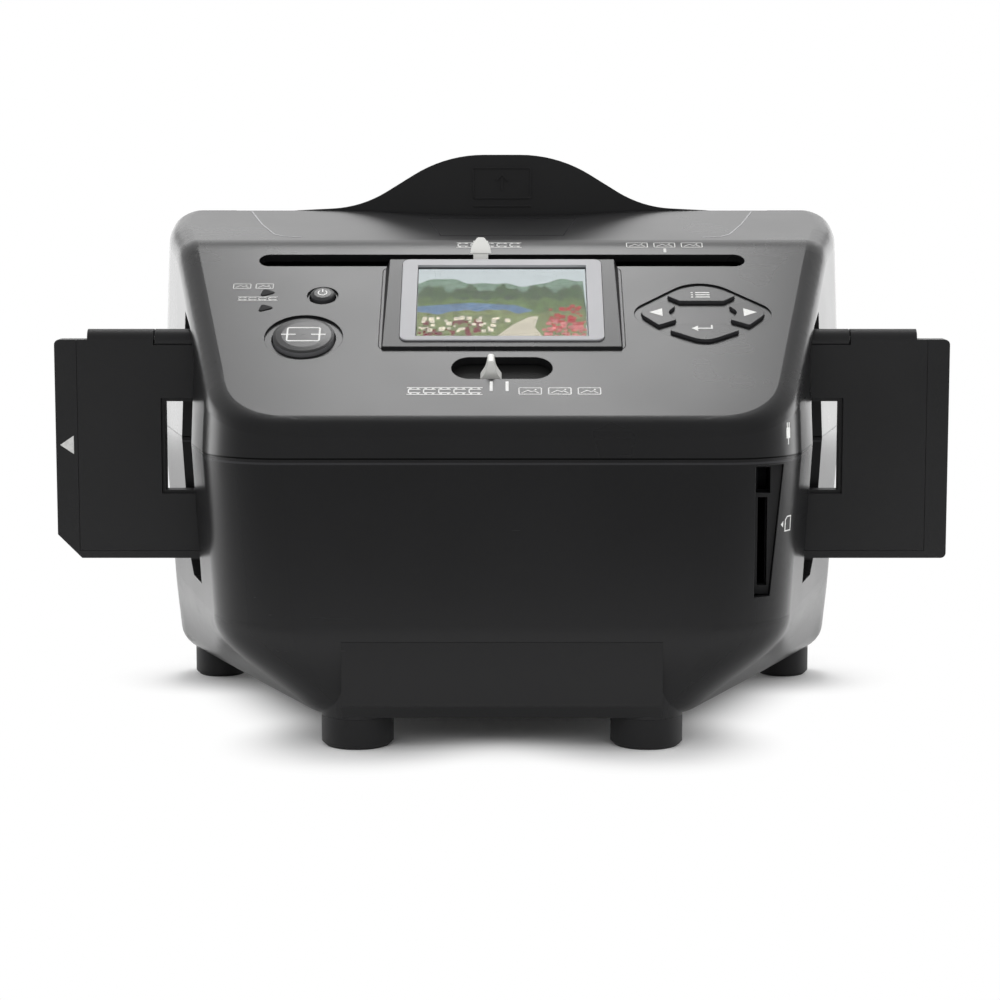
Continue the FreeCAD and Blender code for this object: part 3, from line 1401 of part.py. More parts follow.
def focus_lever():
    plate_top = "-(wall + focus_plate_gap)"
    plate = padded("focus_plate",
                   rectangle("focus_plate_half", "-focus_plate_width / 2", "focus_plate_width / 2"),
                   "focus_plate_thickness", level=f"{plate_top} - focus_plate_thickness")
    fin = padded("focus_fin", mirrored([
        ("focus_fin_foot_half", plate_top, "0"),
        ("focus_fin_waist_half", "-focus_fin_waist_sink", "focus_fin_waist_radius"),
        ("focus_fin_tip_half", "focus_fin_rise", "focus_fin_tip_radius"),
    ]), "focus_fin_length", "XZ_Plane", midplane=True)
    low = "(cam_plate_height + cam_plate_thickness / 2)"
    plate_middle = "(wall + focus_plate_gap + focus_plate_thickness / 2)"
    post_run = "(cam_post_run + cam_post_depth)"
    post = box("cam_post", ("focus_x - cam_post_half", "focus_x + cam_post_half"),
               (run_y("cam_post_run"), run_y(post_run)),
               (low, f"{panel_z('cam_post_run')} - {plate_middle} / cos(panel_slope)"))
    cam = box("cam_plate", ("cam_plate_left", "cam_plate_right"),
              (run_y("cam_post_run"), run_y("cam_plate_rear_run")),
              ("cam_plate_height", "cam_plate_height + cam_plate_thickness"))
    gain = "lens_travel / focus_travel"
    reach = "(cam_pin_radius + cam_slot_fit)"
    across = f"({reach} * sqrt(1 + ({gain})^2))"
    pin_y = run_y("cam_pin_run")
    right_x = f"cam_pin_x + 2 * {reach}"
    left_x = f"cam_pin_x - focus_travel - 2 * {reach}"
    right_y = f"{pin_y} - 2 * {reach} * {gain}"
    left_y = f"{pin_y} + lens_travel + 2 * {reach} * {gain}"
    slot = padded("cam_slot", [
        (right_x, f"{right_y} - {across}", "0"), (right_x, f"{right_y} + {across}", "0"),
        (left_x, f"{left_y} + {across}", "0"), (left_x, f"{left_y} - {across}", "0"),
    ], "cam_plate_thickness + 2 * overrun", level="cam_plate_height - overrun")
    part("focus_lever", on_panel(fin, "focus_x", "short_slot_run"))
    slide = fuse("focus_cam_solid", on_panel(plate, "focus_x", "short_slot_run"), post, cam)
    part("focus_cam_plate", cut("focus_cam_body", slide, slot))


def camera():
    axis_z = "film_axis_height"
    low = f"({axis_z} - camera_half_height)"
    high = f"({axis_z} + camera_half_height)"
    block = slab("camera_block", "camera_half_width", (run_y("camera_front_run"), run_y("camera_rear_run")),
                 (low, high))
    nose = rod_y("camera_nose", "nose_radius", run_y("camera_rear_run - overrun"), run_y("nose_rear_run"),
                 "0", axis_z)
    room = slab("camera_room", "camera_half_width - camera_wall",
                (run_y("camera_front_run - overrun"), run_y("camera_rear_run - camera_wall")),
                (f"{low} + camera_wall", f"{high} - camera_wall"))
    bore = rod_y("camera_bore", "barrel_radius + barrel_fit", run_y("camera_front_run"),
                 run_y("nose_rear_run + overrun"), "0", axis_z)
    part("sensor_housing", cut("sensor_housing_body", fuse("camera_solid", block, nose), room, bore))
    board = slab("sensor_board_plate", "camera_half_width - camera_wall - light_fit",
                 (run_y("camera_front_run"), run_y("camera_front_run + board_thickness")),
                 (f"{low} + camera_wall + light_fit", f"{high} - camera_wall - light_fit"))
    chip = slab("sensor_chip", "chip_size / 2",
                (run_y("camera_front_run + board_thickness / 2"),
                 run_y("camera_front_run + board_thickness + chip_height")),
                (f"{axis_z} - chip_size / 2", f"{axis_z} + chip_size / 2"))
    part("sensor_board", fuse("sensor_board_body", board, chip))
    lens_barrel()
    shelf = slab("bracket_shelf", "bracket_half_width",
                 (run_y("camera_front_run"), run_y("camera_rear_run + bracket_plate")),
                 (f"{low} - shelf_thickness", low))
    plate = slab("bracket_plate_block", "bracket_half_width",
                 (run_y("camera_rear_run"), run_y("camera_rear_run + bracket_plate")),
                 ("underside_height + wall", low))
    part("camera_bracket", fuse("camera_bracket_body", shelf, plate))


def lens_barrel():
    length = "(barrel_rear_run - barrel_front_run)"
    seat = "(lens_seat_run - barrel_front_run)"
    tube = revolved("barrel_tube", [
        ("barrel_bore", "0", "0"), ("barrel_radius", "0", "0"), ("barrel_radius", length, "0"),
        ("lens_radius + lens_fit", length, "0"), ("lens_radius + lens_fit", seat, "0"),
        ("barrel_bore", seat, "0"),
    ])
    place(tube, ("0", run_y("barrel_front_run"), "film_axis_height"), X_AXIS, "-90")
    pin_foot = "(film_axis_height + lens_radius + 2 * lens_fit)"
    pin = rod("cam_pin", "cam_pin_radius",
              f"cam_plate_height + cam_plate_thickness + cam_pin_rise - {pin_foot}",
              ("cam_pin_x", run_y("cam_pin_run"), pin_foot))
    room = rod_y("barrel_room", "lens_radius + lens_fit", run_y("lens_seat_run"),
                 run_y("barrel_rear_run + overrun"),
                 "0", "film_axis_height")
    part("lens_barrel", cut("lens_barrel_body", fuse("barrel_with_pin", tube, pin), room))
    ball = "((lens_radius^2 + lens_crown^2) / (2 * lens_crown))"
    middle = run_y("lens_seat_run + lens_rim + lens_crown")
    front = doc.addObject("Part::Sphere", "lens_front_ball")
    bind(front, "Radius", ball)
    place(front, ("0", f"{run_y('lens_seat_run + lens_rim')} - ({ball} - lens_crown)", "film_axis_height"))
    rim = rod_y("lens_rim_disc", "lens_radius", run_y("lens_seat_run"), middle, "0", "film_axis_height")
    part("lens_glass", common("lens_glass_body", rim, front))


# Display

def on_face(item, along="0", out="0"):
    """Put an item on the tilted face of the bezel, its own Y up the face."""
    angle = "(panel_slope + bezel_tilt)"
    lip_y = f"{run_y('display_run')} - bezel_lip * sin(panel_slope)"
    lip_z = f"{panel_z('display_run')} + bezel_lip * cos(panel_slope)"
    y = f"{lip_y} + ({along}) * cos{angle} - ({out}) * sin{angle}"
    z = f"{lip_z} + ({along}) * sin{angle} + ({out}) * cos{angle}"
    return place(item, ("0", y, z), X_AXIS, "panel_slope + bezel_tilt")


def display():
    base = on_panel(padded("bezel_base",
                           rectangle("display_half_width", "0", "display_length", "bezel_corner_radius"),
                           "display_sink", level="-display_sink"), "0", "display_run")
    block = frustum("bezel_frustum", ("-bezel_half_width", "bezel_half_width"),
                    ("bezel_edge", "display_length - bezel_edge"), ("-bezel_top_half", "bezel_top_half"),
                    ("bezel_edge", "display_length - bezel_rear_draw"), "bezel_height")
    block.Placement = FreeCAD.Placement(FreeCAD.Vector(),
                                        FreeCAD.Rotation(X_AXIS, measure("90 + panel_slope")))
    bind(block, "Placement.Rotation.Angle", "90 + panel_slope")
    far_run = "(display_run + display_length * cos(panel_slope))"
    bind(block, "Placement.Base.y", run_y(far_run))
    bind(block, "Placement.Base.z", panel_z(far_run))
    below = on_face(padded("bezel_slope",
                           rectangle("display_half_width", "-display_length", "2 * display_length"),
                           "2 * bezel_height"), "0", "-2 * bezel_height")
    wedge = common("bezel_wedge", block, below)
    pocket = on_face(padded("lcd_pocket", rectangle("glass_half_width + panel_margin + lcd_fit",
                                                    "glass_start - panel_margin - lcd_fit",
                                                    "glass_end + panel_margin + lcd_fit"),
                            "2 * bezel_height"), "0", "-glass_sink - glass_thickness - 2 * bezel_height")
    hole = on_face(padded("glass_hole", rectangle("glass_half_width + glass_fit", "glass_start - glass_fit",
                                                  "glass_end + glass_fit"), "2 * bezel_height"),
                   "0", "-bezel_height")
    seat = on_face(padded("frame_seat", rectangle("frame_half_width + glass_fit", "frame_start - glass_fit",
                                                  "frame_end + glass_fit", "frame_corner_radius"),
                          "bezel_height"), "0", "-frame_sink")
    part("display_bezel", cut("display_bezel_body", fuse("bezel_solid", base, wedge), pocket, hole, seat))
    ring = padded("frame_ring",
                  rectangle("frame_half_width", "frame_start", "frame_end", "frame_corner_radius"),
                  "frame_sink + frame_rise", level="-frame_sink")
    gap = padded("frame_gap", rectangle("glass_half_width + glass_fit", "glass_start - glass_fit",
                                        "glass_end + glass_fit"), "frame_rise + 3 * overrun",
                                        level="-2 * overrun")
    part("display_frame", cut("display_frame_body", on_face(ring), on_face(gap)))
    part("display_window",
         on_face(padded("display_glass", rectangle("glass_half_width", "glass_start", "glass_end"),
                                          "glass_thickness", level="-glass_sink - glass_thickness")))
    part("display_panel", on_face(padded("display_lcd", rectangle("glass_half_width + panel_margin",
                                                                  "glass_start - panel_margin",
                                                                  "glass_end + panel_margin"),
                                         "lcd_thickness",
                                         level="-glass_sink - glass_thickness - lcd_thickness")))


# Keys and their board

def key_caps():
    for name, (kind, x, run, *_) in key_places().items():
        flange_top = "-(wall + key_flange_gap)"
        cap = key_shape(f"{name}_cap", kind, "0", "wall + key_flange_gap + key_rise", flange_top)
        flange = key_shape(f"{name}_flange", kind, "key_flange", "key_flange_thickness",
                           f"{flange_top} - key_flange_thickness")
        items = [on_panel(cap, x, run), on_panel(flange, x, run)]
        if kind in ("scan", "power"):
            shoulders = [(f"{kind}_radius * {wide}", f"key_crown * {high}", "0")
                         for wide, high in zip(crown_width_shares, crown_height_shares)]
            crown = revolved(f"{name}_crown", [("0", "0", "0"), (f"{kind}_radius", "0", "0"), *shoulders,
                                               ("0", "key_crown", "0")])
            items.append(on_panel(crown, x, run, "key_rise"))
        part(name, fuse(f"{name}_body", *items))


def key_board():
    boards = []
    cuts = []
    rise = key_board_rise()
    for tag, low, high in (("left", "key_board_left_outer", "key_board_left_inner"),
                           ("right", "key_board_right_inner", "key_board_right_outer")):
        length = "(key_board_end_run - key_board_start_run) / cos(panel_slope)"
        corners = [(low, "0", "0"), (high, "0", "0"), (high, length, "0"), (low, length, "0")]
        board = padded(f"{tag}_key_board", corners, "key_board_thickness", level="-key_board_thickness")
        boards.append(on_panel(board, "0", "key_board_start_run", rise))
    screws = []
    for i, (x, run) in enumerate(board_post_places()):
        hole = rod(f"board_hole{i}", "panel_screw_radius + screw_fit", "key_board_thickness + 2 * overrun",
                   ("0", "0", "0"))
        cuts.append(on_panel(hole, x, run, f"{rise} - key_board_thickness - overrun"))
        head = revolved(f"panel_screw{i}", [
            ("0", "0", "0"), ("panel_screw_head_radius", "0", "0"),
            ("panel_screw_head_radius", "panel_screw_head_height", "0"),
            ("panel_screw_radius", "panel_screw_head_height", "0"),
            ("panel_screw_radius", "panel_screw_head_height + key_board_thickness", "0"),
            ("0", "panel_screw_head_height + key_board_thickness", "0"),
        ])
        screws.append(on_panel(head, x, run, f"{rise} - key_board_thickness - panel_screw_head_height"))
    part("key_board", cut("key_board_body", group("key_board_pair", *boards), *cuts))
    part("panel_screws", group("panel_screw_set", *screws))
    domes = []
    wide, narrow = dome_width_shares
    for name, (kind, x, run, across, along) in key_places().items():
        dome = revolved(f"{name}_dome", [
            ("0", "0", "0"), ("dome_radius", "0", "0"),
            (f"dome_radius * {wide}", f"dome_height * {dome_shoulder_share}", "0"),
            (f"dome_radius * {narrow}", "dome_height", "0"), ("0", "dome_height", "0"),
        ])
        domes.append(on_panel(dome, f"{x} + {across}", f"{run} + {along} * cos(panel_slope)", rise))
    part("key_domes", group("key_dome_set", *domes))


def status_lights():
    lights = [status_light(f"status_light{i}", run, "0", "wall + status_rise", "-wall")
              for i, run in enumerate(("upper_status_run", "lower_status_run"))]
    part("status_lights", group("status_light_pair", *lights))


# Photo tray

def tray_corners():
    return mirrored([
        ("tray_half_width", "tray_bottom", "tray_corner_radius"),
        ("tray_half_width", "tray_shoulder", "tray_corner_radius"),
        ("grip_start_x", "tray_shoulder + grip_start_rise", "0"),
        ("grip_foot_x", "grip_foot_height", "grip_foot_radius"),
        ("grip_top_x", "total_height", "grip_top_radius"),
    ])


def photo_tray():
    front = run_y("tray_front_run")
    middle = f"({front} + tray_leaf)"
    rear = f"({front} + 2 * tray_leaf)"
    leaf = place(padded("tray_front_leaf", tray_corners(), "tray_leaf", "XZ_Plane"), ("0", middle, "0"))
    window = slab("photo_window", "photo_half_width", (f"{front} - overrun", f"{middle} + overrun"),
                  ("photo_bottom", "photo_top"))
    pin_z = "(tray_bottom + tray_pin_inset)"
    bore = rod_x("tray_bore", "tray_pin_radius + tray_pin_fit", "-tray_half_width - overrun",
                 "tray_half_width + overrun", middle, pin_z)
    grip = slab("grip_back", "grip_top_x", (middle, rear), ("tray_shoulder", "total_height - tray_leaf"))
    part("photo_tray_frame", cut("photo_frame_body", fuse("photo_frame_solid", leaf, grip), window, bore))
    plate = slab("tray_back_plate", "tray_half_width", (middle, rear),
                 ("tray_bottom", "tray_shoulder - tray_clearance"))
    part("photo_tray_back", cut("photo_back_body", plate, bore))
    part("tray_hinge_pin",
         rod_x("tray_pin", "tray_pin_radius", "-tray_half_width", "tray_half_width", middle, pin_z))


def photo_guide():
    """Channel that carries the photo tray on its bottom and both ends."""
    front = run_y("tray_front_run - tray_clearance")
    rear = run_y("tray_rear_run + tray_clearance")
    outer = (f"{front} - guide_wall", f"{rear} + guide_wall")
    inner_half = "(tray_half_width + tray_clearance)"
    block = slab("guide_block", f"{inner_half} + guide_rail", outer,
                 ("underside_height + wall", "guide_top"))
    groove = slab("guide_groove", inner_half, (front, rear),
                  ("tray_bottom - tray_clearance", "guide_top + overrun"))
    view = slab("guide_view", "tray_half_width - guide_rail",
                (f"{outer[0]} - overrun", f"{outer[1]} + overrun"),
                ("tray_bottom + guide_rail", "guide_top + overrun"))
    part("photo_guide", cut("photo_guide_body", block, groove, view))


def photo_lamps():
    strips = []
    pitch = f"((photo_height - lamp_lower_inset - lamp_upper_inset) / {photo_lamp_count - 1})"
    for tag, side in (("right", ""), ("left", "-")):
        face = f"{side}lamp_strip_x"
        inward = "-" if side == "" else "+"
        outward = "+" if side == "" else "-"
        depth = (run_y("lamp_strip_run"), run_y("lamp_strip_run + lamp_strip_width"))
        edges = [face, f"{face} {outward} board_thickness"]
        if side == "-":
            edges.reverse()
        strip = [box(f"{tag}_lamp_strip", edges, depth, ("underside_height + wall", "lamp_strip_top"))]
        for i in range(photo_lamp_count):
            z = f"(photo_bottom + lamp_lower_inset + {i} * {pitch})"
            edges = [f"{face} {inward} lamp_height", face]
            if side == "-":
                edges.reverse()
            strip.append(box(f"{tag}_lamp{i}", edges,
                             (run_y("lamp_strip_run + lamp_strip_width / 2 - lamp_size / 2"),
                              run_y("lamp_strip_run + lamp_strip_width / 2 + lamp_size / 2")),
                             (f"{z} - lamp_size / 2", f"{z} + lamp_size / 2")))
        strips.append(fuse(f"{tag}_lamp_board", *strip))
    part("photo_lamps", group("photo_lamp_pair", *strips))


# Boards and ports

def main_board():
    board = slab("main_board_plate", "main_board_half",
                 (run_y("main_board_front_run"), run_y("main_board_rear_run")),
                 ("main_board_height", "main_board_height + board_thickness"))
    chips = []
    for i, share in enumerate(chip_place_shares):
        x = f"({share} * main_board_half)"
        y = run_y("(main_board_front_run + main_board_rear_run) / 2")
        chips.append(box(f"main_chip{i}", (f"{x} - chip_size / 2", f"{x} + chip_size / 2"),
                         (f"{y} - chip_size / 2", f"{y} + chip_size / 2"),
                         ("main_board_height + board_thickness / 2",
                          "main_board_height + board_thickness + chip_height")))
    part("main_board", fuse("main_board_body", board, *chips))


def port_block(name, shrink, start, end):
    """Prism of the port recess, which narrows towards the table, between two runs."""
    left = f"port_x - port_half_width + {shrink}"
    right = f"port_x + port_half_width - {shrink}"
    low = f"port_bottom + {shrink}"
    high = f"port_top - {shrink}"
    block = padded(name, [
        (left, low, "0"), (f"{right} - port_taper", low, "0"), (f"{right} + port_widening", high, "0"),
        (left, high, "0"),
    ], f"({end}) - ({start})", "XZ_Plane")
    return place(block, ("0", run_y(end), "0"))


def ports():
    insert = port_block("port_insert_block", "port_fit", "port_insert_run",
                        "port_insert_run + port_insert_thickness")
    board_face = "(port_board_x + board_thickness)"
    card_x = f"({board_face} + card_socket_thickness / 2)"
    card = box("card_slit", (f"{card_x} - card_slit_half", f"{card_x} + card_slit_half"),
               (run_y("port_insert_run - overrun"),
                run_y("port_insert_run + port_insert_thickness + overrun")),
               ("card_bottom", "card_top"))
    usb = box("usb_hole", (f"{card_x} - usb_half", f"{card_x} + usb_half"),
              (run_y("port_insert_run - overrun"),
               run_y("port_insert_run + port_insert_thickness + overrun")),
              ("usb_bottom", "usb_top"))
    part("port_insert", cut("port_insert_body", insert, card, usb))
    board = box("port_board_plate", ("port_board_x", board_face),
                (run_y("port_board_run"), run_y("port_board_run + port_board_depth")),
                ("port_board_bottom", "port_board_top"))
    part("port_board", board)
    depth = (run_y("port_board_run"), run_y("port_board_run + card_socket_depth"))
    shell = box("card_shell", (board_face, f"{board_face} + card_socket_thickness"), depth,
                ("card_bottom - socket_shell", "card_top + socket_shell"))
    room = box("card_room",
               (f"{board_face} + socket_shell", f"{board_face} + card_socket_thickness - socket_shell"),
               (run_y("port_board_run - overrun"),
                run_y("port_board_run + card_socket_depth - 2 * socket_shell")),
               ("card_bottom", "card_top"))
    part("card_socket", cut("card_socket_body", shell, room))
    usb_shell = box("usb_shell", (board_face, f"{board_face} + 2 * usb_half"),
                    (run_y("port_board_run"), run_y("port_board_run + usb_socket_depth")),
                    ("usb_bottom", "usb_top"))
    usb_room = box("usb_room",
                   (f"{board_face} + socket_shell", f"{board_face} + 2 * usb_half - socket_shell"),
                   (run_y("port_board_run - overrun"),
                    run_y("port_board_run + usb_socket_depth - socket_shell")),
                   ("usb_bottom + socket_shell", "usb_top - socket_shell"))
    part("usb_socket", cut("usb_socket_body", usb_shell, usb_room))


base_housing()
top_cover()
feet()
case_screws()
film_holder()
slot_trims()
film_gate()
light_carriage()
carriage_frame()
film_pointer()
focus_lever()
camera()
display()
key_caps()
key_board()
status_lights()
photo_tray()
photo_guide()
photo_lamps()
main_board()
ports()
doc.recompute()

broken = [item.Name for item in doc.Objects if "Invalid" in item.State or "Error" in item.State]
if broken:
    raise SystemExit(f"Objects that did not compute: {broken}")
for name, item in parts.items():
    if item.Shape.isNull() or not item.Shape.isValid() or not item.Shape.Solids:
        raise SystemExit(f"Bad shape: {name}")

os.makedirs("parts", exist_ok=True)
for name, item in parts.items():
    item.Shape.exportStep(f"parts/{name}.step")
print(f"{len(parts)} nodes written")
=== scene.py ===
import json
import math
import random

import bpy
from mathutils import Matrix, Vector
from mathutils.bvhtree import BVHTree


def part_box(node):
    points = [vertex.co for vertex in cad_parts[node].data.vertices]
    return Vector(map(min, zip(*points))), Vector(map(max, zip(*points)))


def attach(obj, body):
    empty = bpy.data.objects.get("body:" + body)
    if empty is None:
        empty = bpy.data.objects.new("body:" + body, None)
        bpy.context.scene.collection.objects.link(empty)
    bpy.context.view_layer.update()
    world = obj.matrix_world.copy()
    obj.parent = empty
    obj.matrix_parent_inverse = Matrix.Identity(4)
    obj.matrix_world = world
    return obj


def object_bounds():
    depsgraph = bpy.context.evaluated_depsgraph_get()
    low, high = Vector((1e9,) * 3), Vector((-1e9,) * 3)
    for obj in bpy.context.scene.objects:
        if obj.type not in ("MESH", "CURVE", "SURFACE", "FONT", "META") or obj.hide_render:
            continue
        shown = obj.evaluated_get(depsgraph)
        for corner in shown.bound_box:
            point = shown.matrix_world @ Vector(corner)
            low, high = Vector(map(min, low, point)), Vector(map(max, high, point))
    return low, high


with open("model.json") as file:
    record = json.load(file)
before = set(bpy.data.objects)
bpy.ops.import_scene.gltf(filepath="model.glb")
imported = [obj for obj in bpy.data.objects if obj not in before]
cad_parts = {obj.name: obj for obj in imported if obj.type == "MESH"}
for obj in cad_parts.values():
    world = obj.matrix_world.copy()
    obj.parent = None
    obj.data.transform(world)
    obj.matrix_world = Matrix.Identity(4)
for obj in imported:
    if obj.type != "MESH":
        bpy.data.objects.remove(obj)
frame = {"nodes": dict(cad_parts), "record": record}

# Desktop film scanner in a plain pale studio. Lengths are metres in the CAD part's frame, but the
# outlines of the marks are millimetres, drawn on the face that they lie on.

MM = 0.001
cad_lo, cad_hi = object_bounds()
case_lo, case_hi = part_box("base_housing")
nodes = frame["nodes"]

# Materials.

# Waves in a metre, for the noise that each kind of unevenness has.
SHADE_WAVES = 24.0
HAIRLINE_WAVES = 900.0
RUBBED_WAVES = 160.0
BRUSHED_WAVES = 700.0
TARNISH_WAVES = 60.0
WIPED_WAVES = 90.0
PICTURE_WAVES = 500.0
INK_WAVES = 1500.0
INK_GLOSS_WAVES = 400.0
EDGE_ROUNDING = 0.25 * MM
GRAIN_DEPTH = 0.2 * MM
BRUSHED_DEPTH = 0.1 * MM
# How far the rounded normal agrees with the flat one, from a worn edge to a sound face.
WORN_EDGE = (0.80, 0.99)
# The upward part of the normal, from a face that looks forwards to one that looks up: over this range the
# painted light on forward faces fades out.
LOOKING_UP = (0.35, 0.7)
# The share of a line's half-width that has its full colour.
LINE_CORE = 0.7


def srgb(red, green, blue):
    """Linear colour of a colour that is given as it is seen, 0 to 255."""
    def linear(value):
        value /= 255
        return value / 12.92 if value <= 0.04045 else ((value + 0.055) / 1.055) ** 2.4
    return tuple(linear(v) for v in (red, green, blue)) + (1.0,)


def shade_of(colour, share):
    """The colour, made lighter or darker."""
    return tuple(min(1.0, c * share) for c in colour[:3]) + (1.0,)


class Shader:
    """A node material with the object's own coordinates, which ride with each body."""

    def __init__(self, name):
        self.material = bpy.data.materials.new(name)
        self.material.use_nodes = True
        self.tree = self.material.node_tree
        self.principled = self.tree.nodes["Principled BSDF"]
        self.place = self.tree.nodes.new("ShaderNodeTexCoord").outputs["Object"]

    def node(self, kind, inputs=None, **settings):
        """A node, each of its inputs linked to an output or set to a value."""
        made = self.tree.nodes.new(kind)
        for key, value in settings.items():
            setattr(made, key, value)
        for key, value in (inputs or {}).items():
            if isinstance(value, bpy.types.NodeSocket):
                self.tree.links.new(value, made.inputs[key])
            else:
                made.inputs[key].default_value = value
        return made

    def stretched(self, x, y, z):
        """The coordinates, stretched for streaks."""
        return self.node("ShaderNodeMapping", {"Vector": self.place, "Scale": (x, y, z)}).outputs[0]

    def axis(self, name, vector=None):
        """One coordinate of the place, or of another vector."""
        return self.node("ShaderNodeSeparateXYZ", {"Vector": vector or self.place}).outputs[name]

    def noise(self, waves, detail=4.0, roughness=0.5, at=None):
        """Noise with so many waves in a metre."""
        return self.node("ShaderNodeTexNoise", {
            "Vector": at or self.place, "Scale": waves, "Detail": detail,
            "Roughness": roughness}).outputs["Fac"]

    def spread(self, value, low, high, from_low=0.3, from_high=0.7):
        """The value's middle range, spread between two numbers."""
        return self.node("ShaderNodeMapRange", {
            "Value": value, "From Min": from_low, "From Max": from_high,
            "To Min": low, "To Max": high}, interpolation_type="SMOOTHSTEP").outputs[0]

    def mix(self, share, first, second):
        """One colour that turns into another."""
        return self.node("ShaderNodeMix", {0: share, 6: first, 7: second}, data_type="RGBA").outputs[2]

    def combine(self, first, second, operation="ADD"):
        """Two numbers, put together by the operation."""
        return self.node("ShaderNodeMath", {0: first, 1: second}, operation=operation).outputs[0]

    def set(self, **values):
        """Sets the shader's own sockets, whose names are written with _ for a space."""
        for name, value in values.items():
            self.principled.inputs[name.replace("_", " ")].default_value = value

    def link(self, output, name):
        self.tree.links.new(output, self.principled.inputs[name])

    def bump(self, height, strength, depth, normal=None):
        """Relief that is too fine for the mesh."""
        inputs = {"Height": height, "Strength": strength, "Distance": depth}
        if normal:
            inputs["Normal"] = normal
        self.link(self.node("ShaderNodeBump", inputs).outputs[0], "Normal")


def moulded(name, colour, roughness, grain=2600.0, relief=0.02, mottle=0.08, edge=1.35,
            specular=0.5, smudge=0.03, metallic=0.0, lines=(), sides=None):
    """Moulded plastic or paint: fine grain, slow changes of shade, faint hairlines, rubbed edges.

    Each of the lines is a level band round the object: its height and half-width in millimetres,
    its colour and its gloss; they serve for a painted shadow along the seam and a painted highlight
    below it. Faces that look forwards rather than up can be painted another colour: painted light."""
    shader = Shader(name)
    shader.set(Specular_IOR_Level=specular, Metallic=metallic)
    slow = shader.noise(SHADE_WAVES, detail=3.0)
    hair = shader.noise(HAIRLINE_WAVES, detail=2.0, at=shader.stretched(0.03, 1.0, 1.0))
    rounded = shader.node("ShaderNodeBevel", {"Radius": EDGE_ROUNDING}, samples=4).outputs[0]
    flat = shader.node("ShaderNodeNewGeometry").outputs["Normal"]
    agreement = shader.node("ShaderNodeVectorMath", {0: rounded, 1: flat}, operation="DOT_PRODUCT")
    worn = shader.spread(agreement.outputs["Value"], 1, 0, *WORN_EDGE)
    worn = shader.combine(worn, shader.spread(shader.noise(RUBBED_WAVES), 0.2, 1.0), "MULTIPLY")
    mottled = shader.spread(slow, 0, 1)
    shade = shader.mix(mottled, shade_of(colour, 1 - mottle), shade_of(colour, 1 + mottle))
    shade = shader.mix(worn, shade, shade_of(colour, edge))
    # Painted light: faces that look forwards get a lighter colour than the faces that look up.
    if sides:
        shade = shader.mix(shader.spread(shader.axis("Z", flat), 1, 0, *LOOKING_UP), shade, sides)
    # Painted lines: a dark, duller band is painted shadow, a pale one is painted highlight.
    for level, half_width, line_colour, gloss in lines:
        off_line = shader.combine(shader.axis("Z"), level * MM, "SUBTRACT")
        off_line = shader.combine(off_line, 0.0, "ABSOLUTE")
        on_line = shader.spread(off_line, 1, 0, half_width * MM * LINE_CORE, half_width * MM)
        shade = shader.mix(on_line, shade, line_colour)
        dulled = shader.combine(on_line, specular * (1 - gloss), "MULTIPLY")
        shader.link(shader.combine(specular, dulled, "SUBTRACT"), "Specular IOR Level")
    shader.link(shade, "Base Color")
    smudged = shader.spread(slow, roughness, roughness + smudge)
    scratched = shader.spread(hair, 0, smudge / 4, 0.55, 0.8)
    shader.link(shader.combine(smudged, scratched), "Roughness")
    shader.bump(shader.noise(grain, detail=2.0, roughness=0.6), relief, GRAIN_DEPTH, rounded)
    return shader.material


def brushed(name, colour, roughness):
    """Plain steel with fine lines along x and a little tarnish."""
    shader = Shader(name)
    shader.set(Metallic=1.0)
    lines = shader.noise(BRUSHED_WAVES, detail=3.0, roughness=0.6, at=shader.stretched(0.04, 1.0, 1.0))
    tarnish = shader.spread(shader.noise(TARNISH_WAVES), 0, 1)
    shader.link(shader.mix(tarnish, shade_of(colour, 0.85), colour), "Base Color")
    shader.link(shader.spread(lines, roughness, roughness + 0.18), "Roughness")
    shader.bump(lines, 0.06, BRUSHED_DEPTH)
    return shader.material


def clear(name, tint, roughness, index, gloss=0.5):
    """Clear plastic or glass with faint wipe marks in its gloss."""
    shader = Shader(name)
    shader.set(Base_Color=tint, Transmission_Weight=1.0, IOR=index, Specular_IOR_Level=gloss)
    wipe = shader.noise(WIPED_WAVES, detail=2.0, at=shader.stretched(1.0, 0.2, 0.2))
    shader.link(shader.spread(wipe, roughness, roughness + 0.02), "Roughness")
    return shader.material


def glowing(name, colour, strength, mottle=0.15):
    """A lit patch of the display: its own light, uneven as a picture is."""
    shader = Shader(name)
    shader.set(Base_Color=(0.01, 0.01, 0.01, 1), Roughness=0.6, Specular_IOR_Level=0.03,
               Emission_Strength=strength)
    tone = shader.spread(shader.noise(PICTURE_WAVES, detail=5.0, roughness=0.65), 0, 1)
    light = shader.mix(tone, shade_of(colour, 1 - mottle), shade_of(colour, 1 + mottle))
    shader.link(light, "Emission Color")
    return shader.material


def printed(name, colour, gloss=0.5):
    """Pad-printed ink: nearly even, a little broken where fingers rub it."""
    shader = Shader(name)
    shader.set(Specular_IOR_Level=gloss)
    rubbed = shader.spread(shader.noise(INK_WAVES, detail=3.0), 0, 1)
    shader.link(shader.mix(rubbed, shade_of(colour, 0.86), colour), "Base Color")
    shader.link(shader.spread(shader.noise(INK_GLOSS_WAVES), 0.4, 0.55), "Roughness")
    return shader.material
